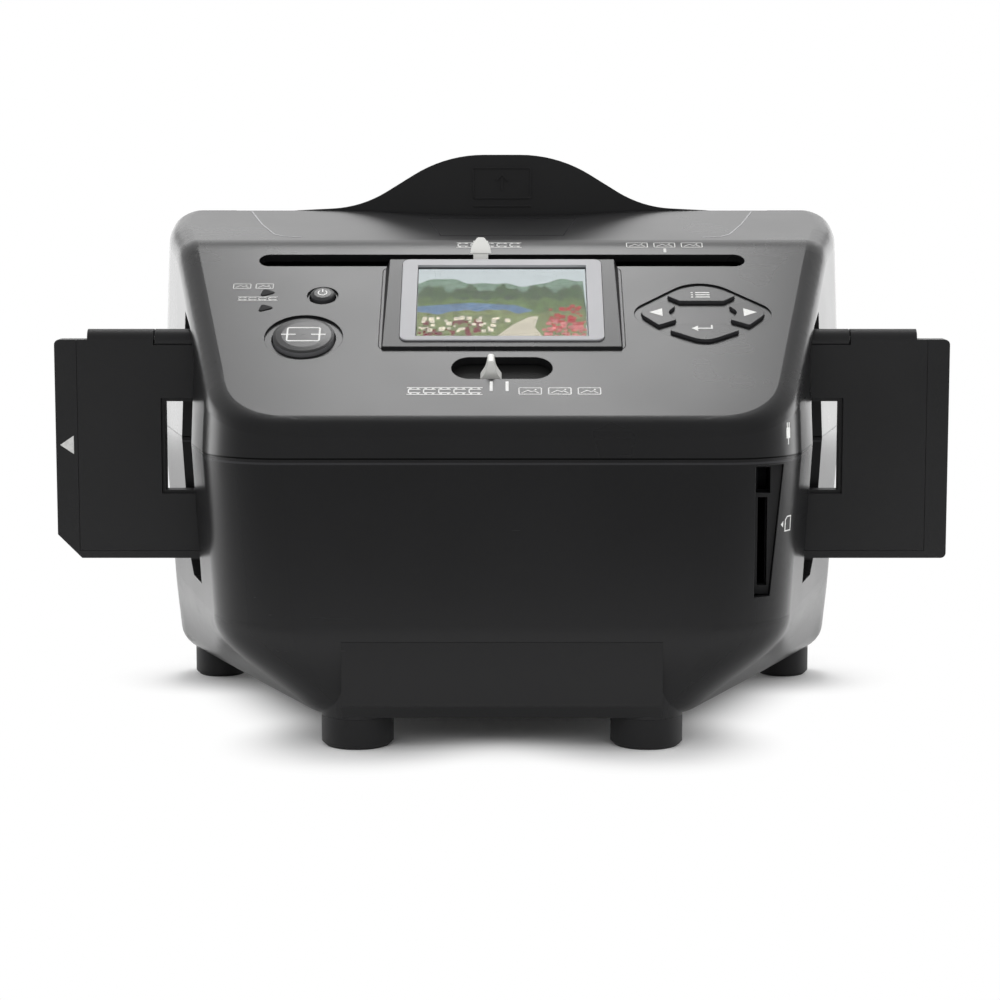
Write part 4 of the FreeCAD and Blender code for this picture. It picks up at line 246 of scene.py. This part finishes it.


# Round the seam: a dark, dull band on the cover is a painted shadow along the seam, and a pale band on the
# base just below it is a painted highlight on its rounded top edge.
seam_height = case_hi.z / MM
painted_seam_shadow = (seam_height, 0.5, srgb(4, 4, 4), 0.25)
painted_seam_highlight = (seam_height - 1.1, 0.35, srgb(46, 46, 48), 1.0)
case_gloss = dict(roughness=0.24, specular=0.3, mottle=0.05, edge=1.3)
panel_gloss = dict(roughness=0.27, specular=0.32, edge=1.3)
plastics = {
    "base_gloss": dict(case_gloss, colour=srgb(24, 24, 25), lines=[painted_seam_highlight]),
    "trim_gloss": dict(case_gloss, colour=srgb(24, 24, 25)),
    "cover_gloss": dict(panel_gloss, colour=srgb(26, 26, 27), mottle=0.05, lines=[painted_seam_shadow]),
    "bezel_gloss": dict(panel_gloss, colour=srgb(26, 26, 27)),
    # The keys' faces that look forwards are painted lighter than their tops: painted light.
    "key_grey": dict(panel_gloss, colour=srgb(26, 26, 27), sides=srgb(58, 58, 60)),
    "scan_gloss": dict(panel_gloss, colour=srgb(26, 26, 27), sides=srgb(104, 104, 106)),
    "key_dark": dict(panel_gloss, colour=srgb(24, 24, 25), specular=0.3, sides=srgb(58, 58, 60)),
    "silver_trim": dict(colour=srgb(160, 160, 163), roughness=0.45, metallic=0.1, edge=1.05, grain=4200.0),
    "matte_black": dict(colour=srgb(30, 30, 31), roughness=0.5, grain=1900.0, relief=0.12, specular=0.35),
    "holder_black": dict(colour=srgb(30, 30, 31), roughness=0.5, grain=1700.0, relief=0.16, specular=0.35,
                         edge=1.9),
    "tray_black": dict(colour=srgb(28, 28, 29), roughness=0.45, grain=1900.0, relief=0.1, specular=0.4,
                       edge=1.7),
    "inner_black": dict(colour=srgb(24, 24, 24), roughness=0.65, grain=1900.0, relief=0.12, specular=0.25),
    "inner_white": dict(colour=srgb(228, 228, 225), roughness=0.5, edge=1.0),
    "diffuser": dict(colour=srgb(238, 238, 234), roughness=0.35, edge=1.0),
    "status_lens": dict(colour=srgb(38, 38, 39), roughness=0.5, specular=0.08, edge=1.2),
    "lever_grey": dict(colour=srgb(240, 240, 236), roughness=0.42, relief=0.05, edge=1.04),
    "foot_rubber": dict(colour=srgb(30, 30, 31), roughness=0.6, grain=1500.0, relief=0.15, specular=0.3),
    "dome_rubber": dict(colour=srgb(176, 176, 172), roughness=0.6, relief=0.08, edge=1.05),
    "board_green": dict(colour=srgb(24, 92, 52), roughness=0.35, mottle=0.18, edge=1.1),
}
finishes = {name: moulded(name, **look) for name, look in plastics.items()}
finishes["steel"] = brushed("steel", srgb(190, 190, 190), roughness=0.28)
# Painted shade: the ports' metal is made dark for the shade of the recess that they lie in.
finishes["port_metal_painted_shade"] = brushed("port_metal_painted_shade", srgb(44, 44, 46), roughness=0.4)
finishes["screen_glass"] = clear("screen_glass", (0.97, 0.98, 0.99, 1), 0.0, index=1.15, gloss=0.05)
finishes["lens"] = clear("lens", (0.88, 0.92, 1.0, 1), 0.01, index=1.6)
finishes["screen_panel"] = glowing("screen_panel", srgb(20, 24, 28), strength=0.4)

slot_of = {part["node"]: part["material_slot"] for part in frame["record"]["subparts"]}
slot_of.update(usb_socket="port_metal_painted_shade", card_socket="port_metal_painted_shade", scan_button="scan_gloss",
               left_slot_trim="trim_gloss", right_slot_trim="trim_gloss")
for name, node in nodes.items():
    node.data.materials.clear()
    node.data.materials.append(finishes[slot_of[name]])

ink_white = printed("ink_white", srgb(228, 228, 226))
ink_grey = printed("ink_grey", srgb(206, 206, 204))
# Painted shade: a dark, dull line that stands for the shade in the badge's engraved outline.
painted_outline_shade = printed("painted_outline_shade", srgb(40, 40, 42), gloss=0.05)
# Painted highlight: light lines that stand for the light caught along the deck's shallow creases.
painted_highlight_ink = printed("painted_highlight_ink", srgb(172, 172, 174), gloss=0.3)

# Outlines, in millimetres.


def stroke(points, width, closed=False):
    """A line of even width as four-cornered pieces, mitred at its bends."""
    points = [Vector(p).to_2d() for p in points]
    count = len(points)
    sides = []
    for i, point in enumerate(points):
        before = points[i - 1] if closed or i else None
        after = points[(i + 1) % count] if closed or i + 1 < count else None
        one = (point - before).normalized() if before is not None else (after - point).normalized()
        two = (after - point).normalized() if after is not None else one
        normal = Vector((-(one.y + two.y), one.x + two.x)).normalized()
        mitre = width / 2 / max(0.35, normal.dot(Vector((-one.y, one.x))))
        sides.append((point + normal * mitre, point - normal * mitre))
    ends = [(i, (i + 1) % count) for i in range(count if closed else count - 1)]
    return [[sides[i][0], sides[i][1], sides[j][1], sides[j][0]] for i, j in ends]


def arc(centre, radius, start, end, steps):
    """Points of an arc, its angles in degrees."""
    turns = [math.radians(start + (end - start) * i / steps) for i in range(steps + 1)]
    return [(centre[0] + radius * math.cos(t), centre[1] + radius * math.sin(t)) for t in turns]


def rounded_box(half_width, half_height, radius, centre=(0, 0)):
    """A rectangle's outline with round corners."""
    outline = []
    for turn, (sx, sy) in enumerate(((1, 1), (-1, 1), (-1, -1), (1, -1))):
        corner = (centre[0] + sx * (half_width - radius), centre[1] + sy * (half_height - radius))
        outline += arc(corner, radius, 90 * turn, 90 * turn + 90, steps=5)
    return outline


def moved(shapes, across, up):
    return [[(p[0] + across, p[1] + up) for p in shape] for shape in shapes]


def film_strip(width, height, frames, line=0.3):
    """Pictogram: a piece of film, with a number of frames and its perforation."""
    shapes = stroke([(-width / 2, height / 2), (width / 2, height / 2)], line)
    shapes += stroke([(-width / 2, -height / 2), (width / 2, -height / 2)], line)
    pitch = width / frames
    for i in range(frames):
        middle = (i - (frames - 1) / 2) * pitch
        shapes += stroke(rounded_box(pitch * 0.38, height * 0.24, 0.15, (middle, 0)), line)
        for side in (-1, 1):
            for share in (-0.25, 0.25):
                hole = (middle + share * pitch, side * height * 0.38)
                shapes.append(rounded_box(pitch * 0.09, height * 0.05, 0.04, hole))
    return shapes


def photo_print(width, height, line):
    """Pictogram: a print with a hill and a sun."""
    shapes = stroke(rounded_box(width / 2, height / 2, 0.25), line, True)
    hill = [(-width * 0.38, -height * 0.3), (-width * 0.1, height * 0.12), (width * 0.06, -height * 0.1),
            (width * 0.18, height * 0.02), (width * 0.38, -height * 0.3)]
    shapes += stroke(hill, line * 0.9)
    shapes.append(arc((width * 0.24, height * 0.22), height * 0.1, 0, 330, steps=11))
    return shapes


# Marks that lie on a face.

SEARCH_REACH = 12 * MM
trees = {}


def surface(name):
    """Finds points on a CAD node's surface."""
    if name not in trees:
        mesh = nodes[name].data
        trees[name] = BVHTree.FromPolygons(
            [v.co.copy() for v in mesh.vertices], [p.vertices[:] for p in mesh.polygons])
    return trees[name]


class Seat:
    """A place on one or more nodes: marks are drawn round its origin and pressed onto the nodes."""

    def __init__(self, names, origin, out, across=(1, 0, 0)):
        self.names = names
        self.origin = Vector(origin)
        self.out = Vector(out).normalized()
        self.across = (Vector(across) - self.out * Vector(across).dot(self.out)).normalized()
        self.up = self.out.cross(self.across)

    def on(self, point, lift):
        """The point of the surface under (across, up) in millimetres, lifted by so many millimetres."""
        start = self.origin + (self.across * point[0] + self.up * point[1]) * MM
        best = None
        for name in self.names:
            place, _, _, distance = surface(name).ray_cast(start + self.out * SEARCH_REACH, -self.out)
            if place is not None and (best is None or distance < best[0]):
                best = (distance, place)
        return (best[1] if best else start) + self.out * lift * MM


def divided(outline, longest):
    """The outline with more points, so that no stretch of it is much longer."""
    finer = []
    for a, b in zip(outline, outline[1:] + outline[:1]):
        parts = max(1, round((b - a).length / longest))
        finer += [a.lerp(b, k / parts) for k in range(parts)]
    return finer


def mark(name, body, seat, shapes, material, height=0.06, sunk=0.05, divide=0):
    """Thin raised shapes, each with its own side walls, on a seat."""
    points, faces = [], []
    for shape in shapes:
        outline = [Vector(p).to_2d() for p in shape]
        if sum(a.x * b.y - b.x * a.y for a, b in zip(outline, outline[1:] + outline[:1])) < 0:
            outline.reverse()
        if divide:
            outline = divided(outline, divide)
        first, count = len(points), len(outline)
        points += [seat.on(p, height) for p in outline] + [seat.on(p, -sunk) for p in outline]
        faces.append(tuple(range(first, first + count)))
        faces.append(tuple(range(first + 2 * count - 1, first + count - 1, -1)))
        for i in range(count):
            j = (i + 1) % count
            faces.append((first + j, first + i, first + count + i, first + count + j))
    mesh = bpy.data.meshes.new(name)
    mesh.from_pydata(points, [], faces)
    mesh.materials.append(material)
    piece = bpy.data.objects.new(name, mesh)
    bpy.context.scene.collection.objects.link(piece)
    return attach(piece, body)


# The panel is the plane that the keys lie in. Places on it are (x, run behind the front wall).

PANEL_TILT = math.radians(30.5)
PANEL_FRONT_HEIGHT = 91.5 * MM
panel_out = Vector((0, -math.sin(PANEL_TILT), math.cos(PANEL_TILT)))


def panel_seat(node, x, run):
    height = PANEL_FRONT_HEIGHT + run * MM * math.tan(PANEL_TILT)
    return Seat([node], (x * MM, case_lo.y + run * MM, height), panel_out)


# Prints on the cover: strips stand for film, small pictures for photos. A row of the list is the
# print's name, its place, its shapes and its ink.

long_slot_row = 78.3
short_slot_row = 13.0
short_slot_ticks = 15.0
prints_in_row = [shape for place in (-8.2, 0, 8.2) for shape in moved(photo_print(6.2, 3.0, 0.3), place, 0)]
status_prints = photo_print(5.0, 2.4, 0.26) + moved(photo_print(5.0, 2.4, 0.26), 6.6, 0)
slot_tick = [rounded_box(0.42, 2.3, 0.2)]
cover_marks = [
    ("film_side", (-3.9, long_slot_row), film_strip(19.4, 3.2, 5), ink_grey),
    ("photo_side", (48.6, long_slot_row), prints_in_row, ink_grey),
    ("photo_tick", (48.6, 75.4), [rounded_box(0.4, 1.1, 0.2)], ink_grey),
    ("focus_film", (-15.9, short_slot_row), film_strip(21.0, 3.2, 5), ink_white),
    ("focus_photo", (16.0, short_slot_row), prints_in_row, ink_white),
    ("focus_tick_film", (-3.0, short_slot_ticks), slot_tick, ink_white),
    ("focus_tick_photo", (1.4, short_slot_ticks), slot_tick, ink_white),
    ("status_photo", (-76.0, 58.6), status_prints, ink_grey),
    ("status_film", (-71.0, 52.9), film_strip(11.6, 1.9, 4, 0.2), ink_grey),
]
for name, place, shapes, ink in cover_marks:
    mark(f"print_{name}", "housing", panel_seat("top_cover", *place), shapes, ink)

# Signs on the keys.

power_sign = stroke(arc((0, 0), 1.25, 128, 412, steps=22), 0.34) + [rounded_box(0.17, 0.75, 0.1, (0, 1.05))]
scan_sign = stroke(rounded_box(4.6, 3.3, 0.6), 0.5, True) + stroke([(-6.3, 0), (6.3, 0)], 0.5)
list_sign = []
for row in (-1, 0, 1):
    list_sign.append(rounded_box(2.1, 0.24, 0.2, (0.9, row * 1.15)))
    list_sign.append(rounded_box(0.3, 0.24, 0.2, (-2.2, row * 1.15)))
enter_sign = stroke([(2.6, 1.3), (2.6, -0.4), (-1.6, -0.4)], 0.45)
enter_sign.append([(-1.4, 0.9), (-3.2, -0.4), (-1.4, -1.7)])
left_arrow = [[(-2.0, 0), (1.8, 2.0), (1.8, -2.0)]]
right_arrow = [[(-x, y) for x, y in shape] for shape in left_arrow]
key_marks = [
    ("power", (-52.2, 54.4), power_sign),
    ("scan", (-56.5, 35.9), scan_sign),
    ("mode", (57.4, 54.0), list_sign),
    ("enter", (57.4, 39.4), enter_sign),
    ("left", (44.4, 46.2), left_arrow),
    ("right", (71.4, 46.2), right_arrow),
]
for key, place, shapes in key_marks:
    mark(f"print_{key}", f"{key}_key", panel_seat(f"{key}_button", *place), shapes, ink_white)

# The deck behind the crease: an empty name place whose outline is painted shade, and two fine lines
# of painted highlight along the deck's shallow creases, drawn as seen from above.

DECK_OUT = (0, -0.19, 0.98)
deck = Seat(["top_cover"], (0, 0, cad_hi.z), DECK_OUT)


def on_deck(outline):
    return [(x, y / deck.up.y) for x, y in outline]


name_place = [(-22.8, 38.5), (-18.6, 17.5), (18.6, 17.5), (22.8, 38.5)]
# The badge's outline is painted shade for its engraved edge.
mark("name_place", "housing", deck, stroke(on_deck(name_place), 0.35, True), painted_outline_shade, divide=3.0)
highlight_paths = {
    "left": [(-80.0, 52.7), (-73.8, 31.0), (-69.2, 19.4), (-66.4, 16.6), (-60.6, 15.6)],
    "right": [(79.8, 52.7), (73.6, 31.0), (69.0, 19.0), (66.2, 16.2), (60.6, 15.2)],
}
for side, crease_highlight in highlight_paths.items():
    # Each line is a painted highlight, where the deck's creases catch the light.
    shapes = stroke(on_deck(crease_highlight), 0.45)
    mark(f"crease_{side}", "housing", deck, shapes, painted_highlight_ink, height=0.05, divide=3.0)

# The display's picture: a garden by a lake, in flat layers behind the window. A row of the list is
# the layer's name, its shapes, its colour and how uneven that is.

display_lo, display_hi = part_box("display_window")
display_tilt = math.atan2(display_hi.z - display_lo.z, display_hi.y - display_lo.y)
display_out = Vector((0, -math.sin(display_tilt), math.cos(display_tilt)))
display = Seat(["display_panel"], (display_lo + display_hi) / 2, display_out)
PICTURE_HALF = (24.4, 17.2)
PICTURE_LIGHT = 0.85
LAYER_STEP = 0.02
SKYLINE_STEP = 0.8
BLOSSOMS = 46
BLOSSOM_SIZES = (0.45, 1.15)
PETAL_POINTS = 8
rng = random.Random(7)


def band(height, lumps, sway, foot):
    """Trees or hills across the whole picture: three waves make the upper edge, and it is flat below."""
    half = PICTURE_HALF[0]
    outline = []
    for i in range(int(2 * half / SKYLINE_STEP) + 1):
        x = -half + i * SKYLINE_STEP
        turn = x * lumps
        wave = math.sin(turn + height) + 0.6 * math.sin(turn * 2.3 + 1.7) + 0.3 * math.sin(turn * 5.1)
        outline.append((x, height + sway * wave))
    return [outline + [(half, foot), (-half, foot)]]


def blossom(x, y, size):
    """A flower head with four broad petals."""
    outline = []
    for k in range(PETAL_POINTS):
        reach = size * (0.75 + 0.25 * (k % 2))
        turn = k * math.pi / 4
        outline.append((x + reach * math.cos(turn), y + reach * math.sin(turn)))
    return outline


lake = [(-24.4, -1.2), (-9, 0.6), (4, -0.6), (9, -3.2), (2, -5.6), (-24.4, -6.4)]
path = [(-3, -17.2), (3, -10), (8, -6), (10.5, -6), (9.4, -11), (12.5, -17.2)]
picture = [
    ("sky", [rounded_box(*PICTURE_HALF, 0.1)], srgb(196, 206, 208), 0.06),
    ("far_hills", band(10.5, 0.16, 1.3, -5), srgb(112, 138, 118), 0.2),
    ("trees", band(7.6, 0.62, 1.5, -6), srgb(58, 82, 46), 0.5),
    ("hedge", band(2.6, 0.9, 0.8, -10), srgb(88, 112, 62), 0.45),
    ("lake", [lake], srgb(92, 122, 156), 0.25),
    ("meadow", band(-3.6, 0.22, 0.8, -17.2), srgb(120, 132, 84), 0.35),
    ("path", [path], srgb(206, 198, 178), 0.12),
]
layer = 0.0
for name, shapes, colour, mottle in picture:
    layer += LAYER_STEP
    glow = glowing(f"glow_{name}", colour, PICTURE_LIGHT, mottle)
    mark(f"picture_{name}", "housing", display, shapes, glow, height=layer, sunk=LAYER_STEP,
         divide=2.0 if name == "sky" else 0)

# A row is the bed's name, its colour, and where it lies across and up the picture.
beds = [
    ("red", srgb(176, 42, 44), (13.5, 24.0), (-13, -1)),
    ("maroon", srgb(110, 26, 34), (-24, -6), (-16, -8)),
    ("cream", srgb(226, 216, 196), (-24, 2), (-13, -6.5)),
    ("pink", srgb(206, 120, 118), (12, 24), (-16.5, -8)),
]
for name, colour, across, up in beds:
    blossoms = []
    for _ in range(BLOSSOMS):
        centre = (rng.uniform(*across), rng.uniform(*up))
        petals = blossom(*centre, rng.uniform(*BLOSSOM_SIZES))
        if all(abs(x) < PICTURE_HALF[0] and abs(y) < PICTURE_HALF[1] for x, y in petals):
            blossoms.append(petals)
    layer += LAYER_STEP
    glow = glowing(f"glow_{name}", colour, PICTURE_LIGHT, 0.3)
    mark(f"picture_bed_{name}", "housing", display, blossoms, glow, height=layer, sunk=LAYER_STEP)

# The film holder's arrow, and the raised frame, arrow and line on the tray's grip.

HOLDER_ARROW_HEIGHT = 80.2 * MM
GRIP_HEIGHT = 155.5 * MM
GRIP_RELIEF = 0.35
FORWARDS = (0, -1, 0)
holder_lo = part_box("holder_back")[0]
holder = Seat(["holder_lid", "holder_back"], (holder_lo.x, holder_lo.y, HOLDER_ARROW_HEIGHT), FORWARDS)
mark("holder_arrow", "film_holder", holder, [[(1.2, 0), (5.2, 2.7), (5.2, -2.7)]], ink_grey)

grip = Seat(["photo_tray_frame"], (0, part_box("photo_tray_frame")[0].y, GRIP_HEIGHT), FORWARDS)
grip_marks = {
    "frame": stroke(rounded_box(9.0, 4.7, 0.6), 0.5, True),
    "line": stroke([(-9, -7.2), (9, -7.2)], 0.5),
    "arrow": stroke([(0, -2.4), (0, 2.2)], 0.6) + stroke([(-1.9, 0.6), (0, 2.6), (1.9, 0.6)], 0.6),
}
for name, shapes in grip_marks.items():
    mark(f"grip_{name}", "photo_tray", grip, shapes, finishes["tray_black"], height=GRIP_RELIEF)

# Pictograms beside the ports, on the front corner: a plug above and a card below.

corner_out = (0.79, -0.61, 0)
corner_across = (0.61, 0.79, 0)
corner_nodes = ["top_cover", "base_housing"]
plug_place = (78.9 * MM, -56.0 * MM, 88.5 * MM)
card_place = (78.9 * MM, -55.0 * MM, 62.5 * MM)
plug_sign = [rounded_box(0.9, 1.5, 0.25, (0, -0.6)), rounded_box(0.2, 0.7, 0.1, (-0.45, 1.6)),
             rounded_box(0.2, 0.7, 0.1, (0.45, 1.6))] + stroke([(0, -2.0), (0, -3.8)], 0.35)
card_outline = [(-1.5, -2.0), (1.5, -2.0), (1.5, 2.0), (-0.6, 2.0), (-1.5, 1.1)]
card_arrow = [(-1.0, 0), (0, 0.9), (0, -0.9)]
plug = Seat(corner_nodes, plug_place, corner_out, corner_across)
card = Seat(corner_nodes, card_place, corner_out, corner_across)
mark("print_plug", "housing", plug, plug_sign, ink_white)
mark("print_card", "housing", card, moved(stroke(card_outline, 0.35, True), 0.8, 0), ink_white)
mark("print_card_arrow", "housing", card, moved([card_arrow], -1.8, 0), ink_white)

# Studio: the room lights the object evenly and is seen white. In mirrored light it is white behind
# the object and dimmer towards the camera's side, as a room is.

ROOM_LEVEL = 0.75
# The share of brightness that mirrored light loses on the camera's side, and where along y it fades.
ROOM_DIMMING = 0.7
DIMMING_FADE = (-0.5, 0.15)


class World(Shader):
    """The same helpers for the world's nodes."""

    def __init__(self, name):
        world = bpy.data.worlds.new(name)
        bpy.context.scene.world = world
        world.use_nodes = True
        self.tree = world.node_tree
        self.place = self.tree.nodes.new("ShaderNodeTexCoord").outputs["Generated"]


def backdrop_rays(shader):
    """Which rays see the backdrop, how bright it is for them, and which of them are mirrored.

    A ray sees it directly, mirrored or through glass."""
    path = shader.node("ShaderNodeLightPath")
    mirrored = path.outputs["Is Glossy Ray"]
    seen = shader.combine(path.outputs["Is Camera Ray"], mirrored, "MAXIMUM")
    seen = shader.combine(seen, path.outputs["Is Transmission Ray"], "MAXIMUM")
    dimming = shader.spread(shader.axis("Y"), ROOM_DIMMING, 0.0, *DIMMING_FADE)
    dimmed = shader.combine(dimming, mirrored, "MULTIPLY")
    return seen, shader.combine(1.0, dimmed, "SUBTRACT"), mirrored


studio = World("studio")
seen, brightness, _ = backdrop_rays(studio)
room = studio.tree.nodes["Background"]
room.inputs["Color"].default_value = (1, 1, 1, 1)
room.inputs["Strength"].default_value = ROOM_LEVEL
backdrop = studio.node("ShaderNodeBackground", {"Color": (1, 1, 1, 1), "Strength": brightness})
world_mix = studio.node("ShaderNodeMixShader", {0: seen, 1: room.outputs[0], 2: backdrop.outputs[0]})
studio.tree.links.new(world_mix.outputs[0], studio.tree.nodes["World Output"].inputs["Surface"])

# Floor: white paper that keeps the object's shadow. The shadow widens with the run behind the front
# wall, each of its edges fades over a range, and a ring round each foot is part of it. In mirrored
# light the paper near the object is lit paper, and only further out plain white.

FLOOR_REACH = 6.0
SHADOW_HALF_WIDTH = 49 * MM
SHADOW_WIDENING = 0.42
FADE_BESIDE = (-22 * MM, 14 * MM)
FADE_AHEAD = (-18 * MM, 24 * MM)
FADE_BEHIND = (125 * MM, 160 * MM)
FADE_ROUND_FOOT = 32 * MM
NEAR_FLOOR = (0.2, 0.34)


def white_share(shader):
    """0 under the object, where the paper shows its shadow, and 1 a little way out, where it is white."""
    away = shader.combine(shader.axis("X"), 0.0, "ABSOLUTE")
    run = shader.combine(shader.axis("Y"), case_lo.y, "SUBTRACT")
    half_width = shader.combine(run, SHADOW_WIDENING, "MULTIPLY")
    half_width = shader.combine(half_width, SHADOW_HALF_WIDTH)
    share = shader.spread(shader.combine(away, half_width, "SUBTRACT"), 0, 1, *FADE_BESIDE)
    share = shader.combine(share, shader.spread(run, 1, 0, *FADE_AHEAD), "MAXIMUM")
    share = shader.combine(share, shader.spread(run, 0, 1, *FADE_BEHIND), "MAXIMUM")
    folded = shader.node("ShaderNodeCombineXYZ", {"X": away, "Y": shader.axis("Y")}).outputs[0]
    for feet in ("front_feet", "rear_feet"):
        lo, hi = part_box(feet)
        radius = (hi.y - lo.y) / 2
        middle = (hi.x - radius, (hi.y + lo.y) / 2, 0)
        gap = shader.node("ShaderNodeVectorMath", {0: folded, 1: middle}, operation="DISTANCE")
        near = shader.spread(gap.outputs["Value"], 0.0, 1, radius, radius + FADE_ROUND_FOOT)
        share = shader.combine(share, near, "MULTIPLY")
    return share


floor_mesh = bpy.data.meshes.new("floor")
floor_corners = [(sx * FLOOR_REACH, sy * FLOOR_REACH, 0) for sx, sy in ((-1, -1), (1, -1), (1, 1), (-1, 1))]
floor_mesh.from_pydata(floor_corners, [], [(0, 1, 2, 3)])
floor = bpy.data.objects.new("floor", floor_mesh)
bpy.context.scene.collection.objects.link(floor)
paper = Shader("paper")
paper.set(Roughness=0.9, Specular_IOR_Level=0.0)
fibre = paper.spread(paper.noise(3.0), 0.93, 0.95)
paper.link(paper.mix(fibre, (0, 0, 0, 1), (1, 1, 1, 1)), "Base Color")
seen, brightness, mirrored = backdrop_rays(paper)
white = paper.node("ShaderNodeEmission", {"Strength": brightness})
distance = paper.node("ShaderNodeVectorMath", {0: paper.place}, operation="LENGTH").outputs["Value"]
hidden = paper.combine(mirrored, paper.spread(distance, 1, 0, *NEAR_FLOOR), "MULTIPLY")
share = paper.combine(white_share(paper), seen, "MULTIPLY")
share = paper.combine(paper.combine(share, hidden, "SUBTRACT"), 0.0, "MAXIMUM")
lit_paper = paper.principled.outputs[0]
floor_mix = paper.node("ShaderNodeMixShader", {0: share, 1: lit_paper, 2: white.outputs[0]})
paper.tree.links.new(floor_mix.outputs[0], paper.tree.nodes["Material Output"].inputs["Surface"])
floor_mesh.materials.append(paper.material)

# Lamps: softboxes, which the panel and the rounded corners mirror. Their power is in watts.


def softbox(name, at, towards, width, depth, power, mirrored=True):
    lamp = bpy.data.lights.new(name, "AREA")
    lamp.shape = "RECTANGLE"
    lamp.size = width
    lamp.size_y = depth
    lamp.energy = power
    lamp_object = bpy.data.objects.new(name, lamp)
    lamp_object.location = at
    lamp_object.rotation_euler = (Vector(at) - Vector(towards)).to_track_quat("Z", "Y").to_euler()
    lamp_object.visible_camera = False
    lamp_object.visible_glossy = mirrored
    bpy.context.scene.collection.objects.link(lamp_object)


case_middle = (0, 0, 0.08)
panel_middle = (0, 0, 0.1)
deck_middle = (0, 0.05, 0.1)
softbox("overhead", (-0.01, 0.53, 1.25), deck_middle, width=0.42, depth=0.46, power=4.7)
softbox("front_fill", (0, -1.2, 0.9), panel_middle, width=1.4, depth=1.0, power=4.4, mirrored=False)
softbox("behind", (0, 1.35, 0.8), panel_middle, width=1.6, depth=0.5, power=2.2)
for name, side in (("left", -1), ("right", 1)):
    softbox(f"corner_{name}", (side * 0.62, 0.22, 0.14), case_middle, width=0.3, depth=0.28, power=0.9)
    softbox(f"beside_{name}", (side * 0.48, 0.5, 0.14), case_middle, width=0.62, depth=0.28, power=0.7)

# The camera stands about 0.7 m in front and looks a little down; its lens and shift are given for a picture
# 1000 pixels wide.

FOCAL_PIXELS = 2633.4
FRAME_PIXELS = 1000
MIDDLE_PIXEL = 502
CAMERA_DISTANCE = 0.7135
CAMERA_HEIGHT = 0.16125
CAMERA_PITCH = math.radians(7.259)
camera_data = bpy.data.cameras.new("camera")
camera_data.sensor_width = 36.0
camera_data.lens = camera_data.sensor_width * FOCAL_PIXELS / FRAME_PIXELS
camera_data.shift_x = (FRAME_PIXELS / 2 - MIDDLE_PIXEL) / FRAME_PIXELS
camera = bpy.data.objects.new("camera", camera_data)
camera.location = (0, case_lo.y - CAMERA_DISTANCE, CAMERA_HEIGHT)
camera.rotation_euler = (math.pi / 2 - CAMERA_PITCH, 0, 0)
bpy.context.scene.collection.objects.link(camera)
bpy.context.scene.camera = camera
bpy.context.scene.view_settings.view_transform = "Standard"
